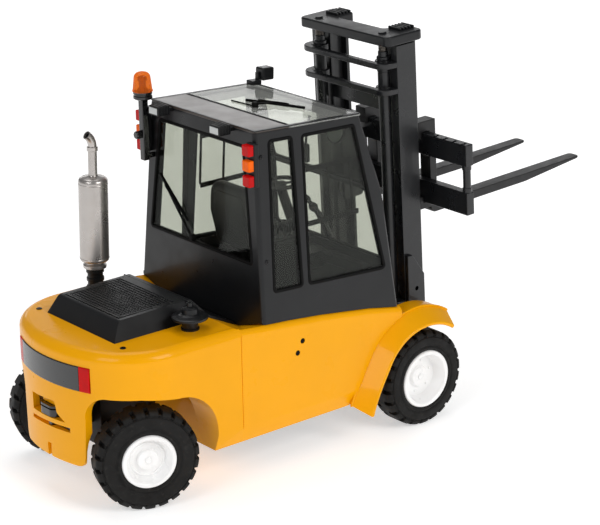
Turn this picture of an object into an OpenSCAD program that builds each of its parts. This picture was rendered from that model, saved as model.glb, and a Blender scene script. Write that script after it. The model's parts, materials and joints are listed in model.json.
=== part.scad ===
// Toy counterbalance forklift, die-cast display scale, in millimetres.
// X runs forward to the forks, Y to the left, Z up. The origin is on the ground,
// midway along the overall length. Shapes are drawn with the front axle at x = 0.

/* [Wheels] */
// Outside radius of all four tyres
tyre_r = 16.8; // [16:0.1:17.4]
// Width of a tyre
tyre_w = 10.4; // [9:0.1:10.8]
// Distance between front axle and rear axle
wheelbase = 107.2; // [106:0.1:108]
// Distance from the middle to the outer face of a front tyre
front_tyre_y = 38.8; // [38.4:0.1:39.4]
// Distance from the middle to a rear kingpin
kingpin_y = 21.5; // [21:0.1:22]
// Distance from a kingpin to the outer face of its tyre
rear_tyre_out = 11.2; // [11:0.1:11.4]
// Steering angle of both rear wheels as drawn
steer_angle = 20; // [0:1:30]
// Number of tread lugs on a tyre
lug_count = 23; // [20:1:26]

/* [Body] */
// Half width of the yellow body
body_half = 34.6; // [34:0.1:35]
// Height of the rear deck above the ground
deck_z = 53.2; // [52.5:0.1:54]
// Height of the lower edge of the body
skirt_z = 13.4; // [12:0.1:14]
// Position of the back of the counterweight
rear_x = -127.5; // [-129:0.1:-126]
// Position of the seam between counterweight and front body
seam_x = -75.4; // [-77:0.1:-74]

/* [Cab] */
// Height of the roof at its rear edge
roof_z = 113.9; // [112:0.1:115]
// Half width of the roof
roof_half = 27.9; // [27:0.1:29]
// Outward lean of the cab sides, in degrees
side_lean = 4.9; // [4:0.1:5.5]
// Thickness of the cab sheet
sheet = 1.6; // [1.4:0.1:2]
// Thickness of a window pane
pane = 0.8; // [0.6:0.1:1]

/* [Mast] */
// Backward lean of the mast as drawn, in degrees
mast_tilt = 2.6; // [0:0.1:4]
// Half width over the outer rails
mast_half = 21.85; // [21:0.05:22.5]
// Height of the crosshead top above the front axle
mast_top = 116.4; // [112:0.1:120]
// Height of the fork blades above the front axle
fork_v = 51.1; // [45:0.1:60]
// Distance from the middle to the centre of a fork
fork_y = 13.85; // [12:0.05:20]
// Forward reach of the fork tips from the front axle
fork_reach = 99; // [90:0.5:105]

/* [Hidden] */
$fn = 48;

// Colours
yellow = "#f5b021";
anthracite = "#3a3b3e";
black = "#1c1c1d";
glass_tint = "#a9b5ac";
silver = "#b3aca8";
steel = "#c9c9c9";
rim_white = "#ecebea";
red = "#c9202a";
amber = "#e8791f";
roof_grey = "#8f8a86";
lens_white = "#dfe3e2";

// Small gap that keeps a moving piece clear of its neighbour
run_gap = 0.05;
free_gap = 0.4;
// Overshoot of a cutting shape
over = 1;

// Thickness of a fork at its tip, and how far the lamp panel stands out of the back
tip_t = 0.7;
panel_proud = 0.4;
// Fork tip in the ground frame gives the front of the overall length
tip_x = fork_reach * cos(mast_tilt) - (fork_v - tip_t) * sin(mast_tilt);
origin_x = -(tip_x + rear_x - panel_proud) / 2;

// ---- placing helpers ----

// Moves a shape drawn about the front axle to the model's origin
module placed() {
    translate([origin_x, 0, 0]) children();
}

// Frame of the mast: X across its depth, Z along its rails, pivot at the front axle
module in_mast() {
    translate([origin_x, 0, tyre_r]) rotate([0, -mast_tilt, 0]) children();
}

// Frame of a rear wheel: kingpin at the origin, wheel to the side given by side
module in_knuckle(side) {
    translate([origin_x - wheelbase, side * kingpin_y, tyre_r])
        rotate([0, 0, -steer_angle]) children();
}

// Draws the children and their mirror image in the XZ plane
module both_sides() {
    children();
    mirror([0, 1, 0]) children();
}

// Puts a shape drawn on the left on the side given: 1 left, -1 right
module on_side(side) {
    if (side > 0) children();
    else mirror([0, 1, 0]) children();
}

// Extrudes an outline given as [x, z] points across the width from y0 to y1
module across(y0, y1, points) {
    translate([0, y1, 0]) rotate([90, 0, 0]) linear_extrude(y1 - y0) polygon(points);
}

// Extrudes an outline given as [y, z] points along the length from x0 to x1
module along(x0, x1, points) {
    translate([x0, 0, 0]) rotate([90, 0, 90]) linear_extrude(x1 - x0) polygon(points);
}

// Box given by its two opposite corners
module block(low, high) {
    translate(low) cube(high - low);
}

// Cylinder along Y between y0 and y1, about the point [x, z]
module rod_y(x, z, y0, y1, r) {
    translate([x, y0, z]) rotate([-90, 0, 0]) cylinder(h = y1 - y0, r = r);
}

// Cylinder along Z between z0 and z1
module rod_z(x, y, z0, z1, r) {
    translate([x, y, z0]) cylinder(h = z1 - z0, r = r);
}

// ---- outline helpers ----

function unit(v) = v / norm(v);
function arc(c, r, a0, a1, n) =
    [for (i = [0:n]) c + r * [cos(a0 + (a1 - a0) * i / n), sin(a0 + (a1 - a0) * i / n)]];
// Point inside a corner, at the same distance from both of its edges
function corner_in(a, b, c, d) =
    let (u = unit(a - b), v = unit(c - b)) b + unit(u + v) * d / sin(acos(u * v) / 2);
function corner_arc(a, b, c, r, n) =
    let (u = unit(a - b), v = unit(c - b), m = corner_in(a, b, c, r),
        t = r / tan(acos(u * v) / 2), p = b + u * t - m, q = b + v * t - m)
    [for (i = [0:n]) m + r * unit(p * (1 - i / n) + q * i / n)];
function before(pts, i) = pts[(i + len(pts) - 1) % len(pts)];
function after(pts, i) = pts[(i + 1) % len(pts)];
// Outline with every corner rounded
function rounded(pts, r, n = 5) =
    [for (i = [0:len(pts) - 1]) each corner_arc(before(pts, i), pts[i], after(pts, i), r, n)];
// Outline moved inward by d
function inset(pts, d) =
    [for (i = [0:len(pts) - 1]) corner_in(before(pts, i), pts[i], after(pts, i), d)];

// ---- counterweight ----

// The back is a wide arc that runs into a tighter arc at each corner
back_r = 50;
back_half_angle = 23.6;
corner_r = (body_half - back_r * sin(back_half_angle)) / (1 - sin(back_half_angle));
back_c = [rear_x + back_r, 0];
corner_c = back_c + (back_r - corner_r) * [-cos(back_half_angle), sin(back_half_angle)];

// Half of the plan outline of the counterweight, moved inward by d
function plan_half(d) = concat(
    arc(back_c, back_r - d, 180, 180 - back_half_angle, 6),
    arc(corner_c, corner_r - d, 176 - back_half_angle, 90, 10),
    [[seam_x, body_half - d / 2]]);
function plan(d) = let (h = plan_half(d), n = len(h))
    concat(h, [for (i = [0:n - 2]) [h[n - 1 - i][0], -h[n - 1 - i][1]]]);

module plan_slice(d, z0, z1) {
    translate([0, 0, z0]) linear_extrude(z1 - z0) polygon(plan(d));
}

arch_z = 38.4;
arch_c = [-101, 21];
arch_r = 15.2;
block_half = 16.5;
well_r = 17.6;
groove_z = 24.6;

// Room for a rear wheel, open to the side and to the back
module rear_arch() {
    intersection() {
        across(0, body_half + over * 2, concat(
            [[rear_x - 5, 0], [rear_x - 5, arch_z], [-113, arch_z - 0.4]],
            arc(arch_c, arch_r, 90, 0, 10),
            [[arch_c[0] + arch_r, 0]]));
        union() {
            along(rear_x - 5, seam_x, concat(
                [[block_half, 0], [block_half + 0.6, 26]],
                arc([block_half + 8.6, arch_z - 8], 8, 172, 90, 6),
                [[body_half + 3, arch_z], [body_half + 3, 0]]));
            rod_z(-wheelbase, kingpin_y, 0, arch_z - 0.2, well_r);
        }
    }
}

// Room between the rear wheels for the steering axle
module axle_space() {
    block([-122, -block_half - 6, -over], [arch_c[0] + arch_r, block_half + 6, arch_z - 0.6]);
}

// Valley between the hood and the cab: the deck falls to the cab's back, most by the middle
valley_x = [-77.5, -66, -64.2];
valley_z = 47.6;
valley_y = [20, 33];
valley_rim_z = 51.3;

module deck_valley() {
    top = deck_z + over;
    intersection() {
        across(-body_half - over, body_half + over, [[valley_x[0], top], [valley_x[0], deck_z],
            [valley_x[1], valley_z], [valley_x[2], valley_z], [valley_x[2], top]]);
        along(valley_x[0] - over, valley_x[2], [[-valley_y[1], top], [-valley_y[1], valley_rim_z],
            [-valley_y[0], valley_z], [valley_y[0], valley_z], [valley_y[1], valley_rim_z],
            [valley_y[1], top]]);
    }
}

// Height of the crease above the skirt, and how far the skirt draws in below it
crease_z = 19.2;
skirt_in = [2.1, 2.6];

// Wedge that draws in the lower side between two positions along the length
module skirt_wedge(x0, x1) {
    along(x0, x1, [[body_half, crease_z], [body_half - skirt_in[0], skirt_z],
        [body_half - skirt_in[1], 0], [body_half + over, 0], [body_half + over, crease_z]]);
}

module counterweight() {
    color(yellow) placed() difference() {
        hull() {
            plan_slice(0, skirt_z, deck_z - 3.4);
            plan_slice(0.45, skirt_z, deck_z - 1.9);
            plan_slice(1.5, skirt_z, deck_z - 0.7);
            plan_slice(3.2, skirt_z, deck_z);
        }
        both_sides() rear_arch();
        both_sides() skirt_wedge(-90, seam_x + over);
        axle_space();
        deck_valley();
        // Towing recess, groove and bottom notch in the back
        block([rear_x - over, -4, 27], [rear_x + 4, 9.5, 32.5]);
        block([rear_x - over, -10.5, groove_z], [rear_x + 3, 9.5, groove_z + 1.4]);
        block([rear_x - over, -1.4, 0], [rear_x + 3, 0.6, 18]);
        // Seat of the lamp panel
        panel_ring(0, panel_angle, back_r - panel_seat, back_r + 2);
    }
}

// ---- front body ----

// Height of the body's top edge along its length
body_top = [[-8.2, 43.8], [-21, 46.3], [-29.6, 47.5], [-42.4, 49.2], [-55, 50.5],
    [-65.8, 51.3], [seam_x, 52.3]];
body_nose_x = -7.4;
wall = 4;
deck_t = 3;
fender_t = 1.3;
fender_in_y = 27.2;
fender_out_y = 40.3;
fender_in_r = 24.6;
fender_out_r = 20.4;
arch_front_x = -30;

// Side view of the front body
module body_side(y0, y1) {
    across(y0, y1, concat(
        [[seam_x, skirt_z]],
        [[arch_front_x, skirt_z]],
        arc([0, tyre_r], 24.4, 197, 112, 12),
        [[body_nose_x, 40], [body_nose_x, body_top[0][1]]],
        body_top));
}

// Section of the front body across its width, with its top edges rounded
module body_section() {
    along(seam_x - over, 0, [[-body_half, 0], [-body_half, 50.2], [0.5 - body_half, 51.6],
        [1.7 - body_half, 52.4], [body_half - 1.7, 52.4], [body_half - 0.5, 51.6],
        [body_half, 50.2], [body_half, 0]]);
}

// Mudguard over a front wheel: a coned band about the front axle
module front_fender() {
    translate([0, 0, tyre_r]) rotate([-90, 0, 0]) rotate([0, 0, -56])
        rotate_extrude(angle = -137, $fn = 96)
            polygon([[fender_in_r - 1.2, fender_in_y], [fender_in_r, fender_in_y],
                [fender_in_r, body_half - 1], [fender_out_r, fender_out_y],
                [fender_out_r - fender_t, fender_out_y],
                [fender_in_r - 1.2, body_half - 2]]);
}

module chassis_body() {
    color(yellow) placed() {
        difference() {
            intersection() {
                body_side(-body_half, body_half);
                body_section();
            }
            // Hollow under the cab, open below and at the nose
            across(wall - body_half, body_half - wall, [[seam_x + deck_t, 0],
                [seam_x + deck_t, 46], [-42.4, 45], [-21, 42.4], [0, 39.6], [0, 0]]);
            block([-21, -23.4, 0], [over, 23.4, 42.5]);
            rod_y(0, tyre_r, -body_half - over, body_half + over, 23.4);
            both_sides() skirt_wedge(seam_x - over, over);
            deck_valley();
            // Filler holes in the right side
            rod_y(-50.7, 42.6, -body_half - over, wall - body_half - over, 0.9);
            rod_y(-52.8, 38.9, -body_half - over, wall - body_half - over, 0.9);
        }
        both_sides() front_fender();
    }
}

// ---- underframe and axles ----

plate_z = 16;
axle_tube_r = 3.2;
axle_pin_r = 1.5;
tilt_pivot = [-36, 28];
tilt_y = 9;

module underframe() {
    color(black) placed() difference() {
        union() {
            // Base plate inside the front body
            block([seam_x + deck_t, wall - body_half, skirt_z + 0.2],
                [arch_front_x, body_half - wall, plate_z + 1]);
            block([arch_front_x - over, 0.4 - fender_in_y, skirt_z + 0.2],
                [-24, fender_in_y - 0.4, plate_z + 1]);
            // Two lugs carry the front axle
            both_sides() across(5, 8.4, concat([[-30, plate_z], [-24, 13.6]],
                arc([0, tyre_r], 5.2, 250, 450, 12), [[-20, 27], [-30, 27]]));
            // Two lugs carry the tilt cylinders
            both_sides() across(tilt_y + 2.2, tilt_y + 4.2, concat([[-41, plate_z],
                [-31, plate_z]], arc(tilt_pivot, 2.6, 20, 160, 8)));
        }
        rod_y(0, tyre_r, -20, 20, axle_tube_r);
    }
    color(black) placed() {
        rod_y(tilt_pivot[0], tilt_pivot[1], -tilt_y - 4.2, tilt_y + 4.2, 0.9);
    }
}

// Dish depth of the rims, and the axle ends that stop short of the hub's blind bore
front_dish = 4.6;
rear_dish = 3;
pin_short = 0.5;
front_pin_y = front_tyre_y - front_dish - pin_short;
rear_pin_y = rear_tyre_out - rear_dish - pin_short;

module front_axle() {
    color(black) placed() {
        rod_y(0, tyre_r, -25.4, 25.4, axle_tube_r);
        rod_y(0, tyre_r, -front_pin_y, front_pin_y, axle_pin_r);
    }
}

yoke_gap = 7;
yoke_t = 1.6;
yoke_r = 2.6;
kingpin_r = 1.2;

// Rear axle beam with a fork for each kingpin, hung from the counterweight
module steer_axle() {
    color(black) placed() translate([-wheelbase, 0, 0]) {
        block([-4, -17.4, tyre_r - yoke_gap / 2], [4, 17.4, tyre_r + yoke_gap / 2]);
        block([-4, -6, tyre_r + yoke_gap / 2], [4, 6, arch_z - 0.6]);
        both_sides() {
            for (z = [tyre_r + yoke_gap / 2, tyre_r - yoke_gap / 2 - yoke_t]) {
                block([-yoke_r, 14, z], [yoke_r, kingpin_y, z + yoke_t]);
                rod_z(0, kingpin_y, z, z + yoke_t, yoke_r);
            }
            rod_z(0, kingpin_y, tyre_r - yoke_gap / 2 - yoke_t,
                tyre_r + yoke_gap / 2 + yoke_t, kingpin_r);
        }
    }
}

// Steering knuckle with the stub axle of a rear wheel
module knuckle(side) {
    color(black) in_knuckle(side) on_side(side) difference() {
        union() {
            translate([0, 0, -yoke_gap / 2 + 0.1]) cylinder(h = yoke_gap - 0.2, r = 2.1);
            rod_y(0, 0, 1, 2, 2.2);
            rod_y(0, 0, 0, rear_pin_y, axle_pin_r);
        }
        translate([0, 0, -yoke_gap]) cylinder(h = yoke_gap * 2, r = kingpin_r + run_gap);
    }
}

// ---- wheels, drawn about Y with the outer tyre face at y = 0 and the inside at -tyre_w ----

front_rim_r = 10.1;
rear_rim_r = 8.9;

// Tread blocks: notches cut round both shoulders and across the tread
module tyre(rim_r) {
    w = tyre_w;
    difference() {
        rotate([90, 0, 0]) rotate_extrude($fn = 96) polygon([
            [rim_r, 0.5], [rim_r + 1, 0], [rim_r + 3.6, 0.1], [tyre_r - 1.6, 0.5],
            [tyre_r - 0.4, 1.2], [tyre_r, 2.2], [tyre_r, w - 2.2], [tyre_r - 0.4, w - 1.2],
            [tyre_r - 1.6, w - 0.5], [rim_r + 1, w], [rim_r, w - 0.5]]);
        for (i = [0:lug_count - 1]) {
            rotate([0, 360 * i / lug_count, 0])
                block([-0.65, -3.8, tyre_r - 1.1], [0.65, over, tyre_r + over]);
            rotate([0, 360 * (i + 0.5) / lug_count, 0])
                block([-0.65, -w - over, tyre_r - 1.1], [0.65, 3.8 - w, tyre_r + over]);
        }
    }
}

// Rim with a deep dish on the outside, a raised hub and a blind bore on the inside
module rim(rim_r, dish, hub_r) {
    w = tyre_w;
    difference() {
        rotate([90, 0, 0]) rotate_extrude($fn = 96) polygon([
            [0, dish - 1.6], [hub_r - 0.6, dish - 1.6], [hub_r, dish - 1],
            [hub_r, dish], [rim_r - 3, dish], [rim_r - 1.6, 0.6], [rim_r - 1.2, -0.2],
            [rim_r - 0.5, -0.2], [rim_r, 0.4], [rim_r, w - 0.4], [rim_r - 1.2, w - 0.4],
            [rim_r - 1.8, dish + 2], [3.1, dish + 2], [2.9, w - 1.4], [0, w - 1.4]]);
        rotate([90, 0, 0]) translate([0, 0, dish + 0.2])
            cylinder(h = w, r = axle_pin_r + run_gap);
    }
}

module front_wheel_place(side) {
    translate([origin_x, 0, tyre_r]) on_side(side) translate([0, front_tyre_y, 0]) children();
}

module rear_wheel_place(side) {
    in_knuckle(side) on_side(side) translate([0, rear_tyre_out, 0]) children();
}

module rim_front(side) {
    color(rim_white) front_wheel_place(side) rim(front_rim_r, front_dish, 3.6);
}

module rim_rear(side) {
    color(rim_white) rear_wheel_place(side) rim(rear_rim_r, rear_dish, 3.4);
}

module tyre_front(side) {
    color(black) front_wheel_place(side) tyre(front_rim_r);
}

module tyre_rear(side) {
    color(black) rear_wheel_place(side) tyre(rear_rim_r);
}

// ---- hood ----

hood_x0 = -113.4;
hood_front_x = -82.1;
hood_half = 19;
hood_z = 59.4;
hood_slope = 2.6;
grille_x0 = -108.6;
grille_x1 = -87.4;
grille_half = 14.8;

// The hood's front falls to the deck and runs on down the valley to the cab's back
module engine_hood() {
    color(anthracite) placed() difference() {
        intersection() {
            across(-hood_half, hood_half, [[hood_x0, deck_z], [hood_x0 + 3.4, hood_z],
                [hood_front_x, hood_z + 0.4], [valley_x[0] + 1, deck_z + 0.4],
                [valley_x[1] - 0.2, valley_z + 1], [valley_x[1] - 0.2, valley_z + 0.1],
                [valley_x[0], deck_z]]);
            along(hood_x0 - over, valley_x[1], [[-hood_half, deck_z],
                [hood_slope - hood_half, hood_z + over], [hood_half - hood_slope, hood_z + over],
                [hood_half, deck_z], [hood_half, valley_z], [-hood_half, valley_z]]);
        }
        // Pocket for the grille
        block([grille_x0, -grille_half, hood_z - 0.9], [grille_x1, grille_half, hood_z + over]);
    }
}

// Grille plate with rows of small square openings
module hood_grille() {
    rows = 7;
    cols = 11;
    step_x = (grille_x1 - grille_x0 - 1.6) / rows;
    step_y = (2 * grille_half - 1.6) / cols;
    color(black) placed() difference() {
        block([grille_x0, -grille_half, hood_z - 0.9], [grille_x1, grille_half, hood_z + 0.1]);
        for (i = [0:rows - 1], j = [0:cols - 1])
            translate([grille_x0 + 0.8 + step_x * (i + 0.5), -grille_half + 0.8
                + step_y * (j + 0.5), hood_z - 0.5])
                translate([-0.9, -0.8, 0]) cube([1.8, 1.6, 2]);
    }
}

// ---- cab ----

cab_rear_x = -63.4;
cab_front_x = -19.6;
roof_front_z = 111.9;
rear_lean = 2.2;
pillar_knee = [-12, 84.5];
cab_foot = [-8.2, 43.8];
gasket_w = 0.9;
window_r = 1.6;

// Outline of a cab side as [x, z] points
side_outline = concat([[cab_rear_x, roof_z], [cab_front_x, roof_front_z], pillar_knee], body_top_cab());
function body_top_cab() = [for (p = body_top) if (p[0] > seam_x) p];

// Openings of the four windows of a side and of the back
small_window = [[-58.5, 110.4], [-48.2, 110], [-48, 59.8], [-60.8, 60.4]];
large_window = [[-45, 109.7], [-22.4, 109.1], [-12.6, 57.8], [-46.2, 59.8]];
rear_opening = [[-22.8, 108.6], [22.8, 108.6], [28, 69.6], [-28, 69.6]];
windscreen_top = [[-24, 108.4], [24, 108.4], [26.4, 87], [-26.4, 87]];
windscreen_low = [[-26.6, 83.2], [26.6, 83.2], [28.6, 60], [-28.6, 60]];

// Sheet standing in the plane of the left side, drawn from [x, z] points
module side_sheet(points, t0, t1) {
    translate([0, roof_half, roof_z]) rotate([side_lean, 0, 0]) translate([0, 0, -roof_z])
        across(t0, t1, points);
}

// Sheet standing in the plane of the cab's back, drawn from [y, z] points
module back_sheet(points, t0, t1) {
    translate([cab_rear_x, 0, roof_z]) rotate([0, rear_lean, 0]) translate([0, 0, -roof_z])
        along(t0, t1, points);
}

// Section of the cab across its width
function cab_half(z) = roof_half + (roof_z - z) * tan(side_lean);
module cab_section(margin) {
    along(-80, 0, [for (p = [[-1, 40], [1, 40], [1, roof_z + 2], [-1, roof_z + 2]])
        [p[0] * (cab_half(p[1]) + margin), p[1]]]);
}

// Slope that clears the top of the nose under the cab's foot
foot_slope = 0.2;

// Front line of the cab, from the roof down, moved back by d
function front_line(d) = [[cab_front_x - d, roof_front_z], pillar_knee - [d, 0],
    cab_foot + [-d, foot_slope * d]];

// Strip along the front of the cab between depths d0 and d1
module front_strip(d0, d1) {
    a = front_line(d0);
    b = front_line(d1);
    intersection() {
        across(-40, 40, [a[0], a[1], a[2], b[2], b[1], b[0]]);
        cab_section(0);
    }
}

// Strip under the roof line between depths d0 and d1 below the top
module roof_strip(d0, d1, x0, x1) {
    slope = (roof_z - roof_front_z) / (cab_front_x - cab_rear_x);
    top0 = roof_z - (x0 - cab_rear_x) * slope;
    top1 = roof_z - (x1 - cab_rear_x) * slope;
    across(-40, 40, [[x0, top0 - d0], [x1, top1 - d0], [x1, top1 - d1], [x0, top0 - d1]]);
}

module cab_shell() {
    color(anthracite) placed() difference() {
        union() {
            both_sides() side_sheet(side_outline, -sheet, 0);
            back_sheet([[-cab_half(valley_rim_z), valley_rim_z + 0.1],
                [-valley_y[1], valley_rim_z + 0.1], [-valley_y[0], valley_z + 0.1],
                [valley_y[0], valley_z + 0.1], [valley_y[1], valley_rim_z + 0.1],
                [cab_half(valley_rim_z), valley_rim_z + 0.1], [cab_half(roof_z), roof_z],
                [-cab_half(roof_z), roof_z]], 0, sheet);
            front_strip(0, sheet);
            intersection() {
                roof_strip(pane, 3, cab_rear_x, cab_front_x);
                cab_section(0);
            }
        }
        // Roof opening under the glass
        block([-46.6, -25, 100], [-23, 25, 120]);
        both_sides() {
            side_sheet(rounded(small_window, window_r), -sheet - over, over);
            side_sheet(rounded(large_window, window_r), -sheet - over, over);
        }
        back_sheet(rounded(rear_opening, window_r), -over, sheet + over);
        along(-30, 5, rounded(windscreen_top, window_r));
        along(-30, 5, rounded(windscreen_low, window_r));
        // Space kept free above the roof line, where panel and glass lie
        roof_strip(-8, pane, cab_rear_x - 6, cab_front_x + 8);
    }
}

// Rear half of the roof
module roof_panel() {
    color(roof_grey) placed() intersection() {
        roof_strip(0, pane, cab_rear_x, -49.2);
        cab_section(0);
    }
}

// Clear front half of the roof
module roof_glass() {
    color(glass_tint, 0.5) placed() intersection() {
        roof_strip(0, pane, -48.8, cab_front_x);
        cab_section(-0.3);
    }
}

// Two panes in the front of the cab
module windscreens() {
    color(glass_tint, 0.5) placed() for (w = [windscreen_top, windscreen_low])
        intersection() {
            front_strip(0.4, 0.4 + pane);
            along(-30, 5, rounded(inset(w, gasket_w), window_r - gasket_w));
        }
}

module rear_window() {
    color(glass_tint, 0.5) placed() back_sheet(
        rounded(inset(rear_opening, gasket_w), window_r - gasket_w), 0.3, 0.3 + pane);
}

module side_windows() {
    color(glass_tint, 0.5) placed() both_sides() for (w = [small_window, large_window])
        side_sheet(rounded(inset(w, gasket_w), window_r - gasket_w), -0.3 - pane, -0.3);
}

// Ring between an opening and its pane, as a flat outline
module ring_cut(outer) {
    difference() {
        polygon(rounded(outer, window_r));
        polygon(rounded(inset(outer, gasket_w), window_r - gasket_w));
    }
}

// Rubber seals round the panes
module window_gaskets() {
    color(black) placed() {
        both_sides() for (w = [small_window, large_window])
            translate([0, roof_half, roof_z]) rotate([side_lean, 0, 0])
                translate([0, 0.25, -roof_z]) rotate([90, 0, 0])
                linear_extrude(sheet) ring_cut(w);
        translate([cab_rear_x, 0, roof_z]) rotate([0, rear_lean, 0])
            translate([-0.25, 0, -roof_z]) rotate([90, 0, 90])
            linear_extrude(sheet) ring_cut(rear_opening);
        for (w = [windscreen_top, windscreen_low]) intersection() {
            front_strip(-0.25, sheet - 0.25);
            translate([-30, 0, 0]) rotate([90, 0, 90]) linear_extrude(35) ring_cut(w);
        }
    }
}

// ---- inside the cab ----

floor_z = 52.4;

module cab_floor() {
    color(black) placed() across(-29.5, 29.5, concat([[-61.8, floor_z], [-11.8, floor_z],
        [-11.8, 45]], [for (p = body_top) if (p[0] < -15 && p[0] > -60) p + [0, 0.02]],
        [[-61.8, 51.1]]));
}

module seat_base() {
    color(black) placed() {
        block([-52, -9, floor_z], [-36, 9, 61]);
        block([-53, -6, 61], [-50.4, 6, 66]);
    }
}

// Cushion of the seat
module seat_cushion() {
    color(black) placed() hull() {
        block([-50.3, -9.4, 61], [-35, 9.4, 64]);
        block([-49.5, -8.4, 61], [-36, 8.4, 65.4]);
    }
}

// Backrest of the seat, narrower towards the top
module seat_back() {
    color(black) placed() translate([-50.4, 0, 65.5]) rotate([0, -6, 0]) hull() {
        rod_y(1.5, 1.4, -9.4, 9.4, 1.3);
        rod_y(1.4, 12, -10.6, 10.6, 1.6);
        rod_y(1.2, 19.4, -7.5, 7.5, 1.3);
    }
}

column_foot = [-20, 0, floor_z];
column_head = [-31, 0, 83];
column_lean = atan2(column_head[0] - column_foot[0], column_head[2] - column_foot[2]);
column_len = norm(column_head - column_foot);

module steering_column() {
    color(black) placed() {
        block([-24.5, -5, floor_z], [-15.5, 5, 58.4]);
        difference() {
            translate(column_foot) rotate([0, column_lean, 0]) cylinder(h = column_len, r = 1.7);
            block([-24.5, -5, 0], [-15.5, 5, 58.4]);
        }
    }
}

module steering_wheel() {
    color(black) placed() translate(column_head) rotate([0, column_lean, 0]) {
        rotate_extrude() translate([5.6, 1.2]) circle(r = 0.75, $fn = 24);
        translate([0, 0, 0]) cylinder(h = 1.6, r = 1.8);
        for (a = [90, 210, 330]) rotate([0, 0, a]) block([1.2, -0.5, 0.7], [5.4, 0.5, 1.5]);
    }
}

// Armrest console on the driver's right
module control_console() {
    color(black) placed() {
        block([-47, -16.6, floor_z], [-38, -11.4, 68]);
        block([-47, -17, 68], [-33, -11, 71]);
    }
}

// Row of hydraulic levers on the console
module control_levers() {
    color(black) placed() for (x = [-44, -41, -38, -35]) translate([x, -14, 71]) {
        cylinder(h = 4.4, r = 0.5);
        translate([0, 0, 5]) sphere(r = 1, $fn = 24);
    }
}

// ---- lamps and roof fittings ----

roof_slope = atan2(roof_z - roof_front_z, cab_front_x - cab_rear_x);

// Frame of the roof's top: X forward along the slope, Z away from the roof
module on_roof() {
    translate([cab_rear_x, 0, roof_z]) rotate([0, roof_slope, 0]) children();
}

// Frame of the cab's back: Y across, Z up the back from the ground, X into the cab
module on_back() {
    translate([cab_rear_x, 0, roof_z]) rotate([0, rear_lean, 0]) translate([0, 0, -roof_z])
        children();
}

// Keeps the part of the children that lies behind the cab
module behind_cab() {
    difference() {
        children();
        on_back() block([0, -40, 80], [12, 40, roof_z + 8]);
    }
}

// Flat bar in the XY plane between two points
module flat_bar(p, q, w, z0, z1) {
    d = q - p;
    translate([p[0], p[1], z0]) rotate([0, 0, atan2(d[1], d[0])])
        translate([0, -w / 2, 0]) cube([norm(d), w, z1 - z0]);
}

lamp_x = -70.4;
lamp_half = [13.6, 19];

module work_lights() {
    color(black) placed() both_sides() {
        difference() {
            block([lamp_x, lamp_half[0], 111.6], [-65.2, lamp_half[1], 114.8]);
            block([lamp_x - over, lamp_half[0] + 0.4, 112],
                [lamp_x + 0.6, lamp_half[1] - 0.4, 114.4]);
        }
        behind_cab() block([-65.2, 14.8, 112.2], [cab_rear_x + over, 17.8, 113.6]);
    }
}

module work_light_lenses() {
    color(lens_white) placed() both_sides()
        block([lamp_x, lamp_half[0] + 0.4, 112], [lamp_x + 0.6, lamp_half[1] - 0.4, 114.4]);
}

tail_y = [26.8, 30.4];
tail_x = -67;

// Boards that hold the tail lamps on the rear corner posts
module lamp_brackets() {
    color(black) placed() both_sides() behind_cab()
        block([tail_x + 1.2, tail_y[0] - 0.3, 96.4], [cab_rear_x + over, tail_y[1] + 0.3, 110.6]);
}

// One block of a tail lamp between two heights
module lamp_block(z0, z1) {
    both_sides() block([tail_x - 0.8, tail_y[0], z0], [tail_x + 1.2, tail_y[1], z1]);
}

module red_lamps() {
    color(red) placed() {
        lamp_block(106.8, 110.4);
        lamp_block(96.8, 100.4);
    }
}

module amber_lamps() {
    color(amber) placed() lamp_block(101.8, 105.4);
}

beacon = [-68.6, 24.4];

// Pole of the beacon, held by two arms, with a knob that clamps it
module beacon_post() {
    pole_half = 1.2;
    pole_x = beacon[0] - pole_half;
    pole_y = [beacon[1] - pole_half, beacon[1] + pole_half];
    arm_t = 1.6;
    // Height and breadth of each arm; the lower one passes beside the rear window
    arms = [[111, pole_y], [94.6, [25, 26.2]]];
    color(black) placed() {
        block([pole_x, pole_y[0], 94.6], [beacon[0] + pole_half, pole_y[1], 115.4]);
        for (arm = arms)
            behind_cab()
                block([beacon[0], arm[1][0], arm[0]], [cab_rear_x + over, arm[1][1], arm[0] + arm_t]);
        rod_z(beacon[0], beacon[1], 115.4, 118, 3.2);
        translate([pole_x + 0.2, beacon[1] + 0.6, 103.4]) rotate([0, -90, 0])
            cylinder(h = 2.2, r = 1.4);
    }
}

module beacon_lens() {
    color(amber, 0.8) placed() translate([beacon[0], beacon[1], 118]) rotate_extrude()
        polygon(concat([[0, 0], [3.4, 0]], arc([1.6, 5.6], 1, 10, 90, 5), [[0, 6.6]]));
}

// Camera on its arm at the front left corner of the roof
module roof_camera() {
    color(black) placed() on_roof() {
        block([40, 23.6, 0], [44, 27.2, 1.6]);
        block([43, 24.8, 1.6], [44, 26.2, 4]);
        block([44, 23, 1.2], [49.4, 27.4, 5.6]);
    }
}

// Wiper on the roof glass: pivot, arm and blade
module roof_wiper() {
    pivot = [21.1, -1.6];
    blade = [[23.8, 6.7], [32.6, -13.4]];
    color(black) placed() on_roof() {
        flat_bar(blade[0], blade[1], 0.9, 0, 1);
        flat_bar(pivot, (blade[0] + blade[1]) / 2, 0.8, 0.7, 1.6);
        rod_z(pivot[0], pivot[1], 0, 1.8, 1.1);
    }
}

// Wiper on the rear window, drawn flat and turned up onto the glass
module rear_wiper() {
    pivot = [-71.8, 3.6];
    blade = [[-76.8, 6.6], [-89.6, 22]];
    glass_x = 0.3;
    color(black) placed() on_back() translate([glass_x, 0, 0]) rotate([0, -90, 0])
        mirror([1, 0, 0]) {
        flat_bar(blade[0], blade[1], 0.9, 0, 1);
        flat_bar(pivot, blade[0] * 0.4 + blade[1] * 0.6, 0.8, 0.7, 1.6);
        rod_z(pivot[0], pivot[1], 0, 1.8, 1.1);
    }
}

// ---- exhaust and air cleaner ----

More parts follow.
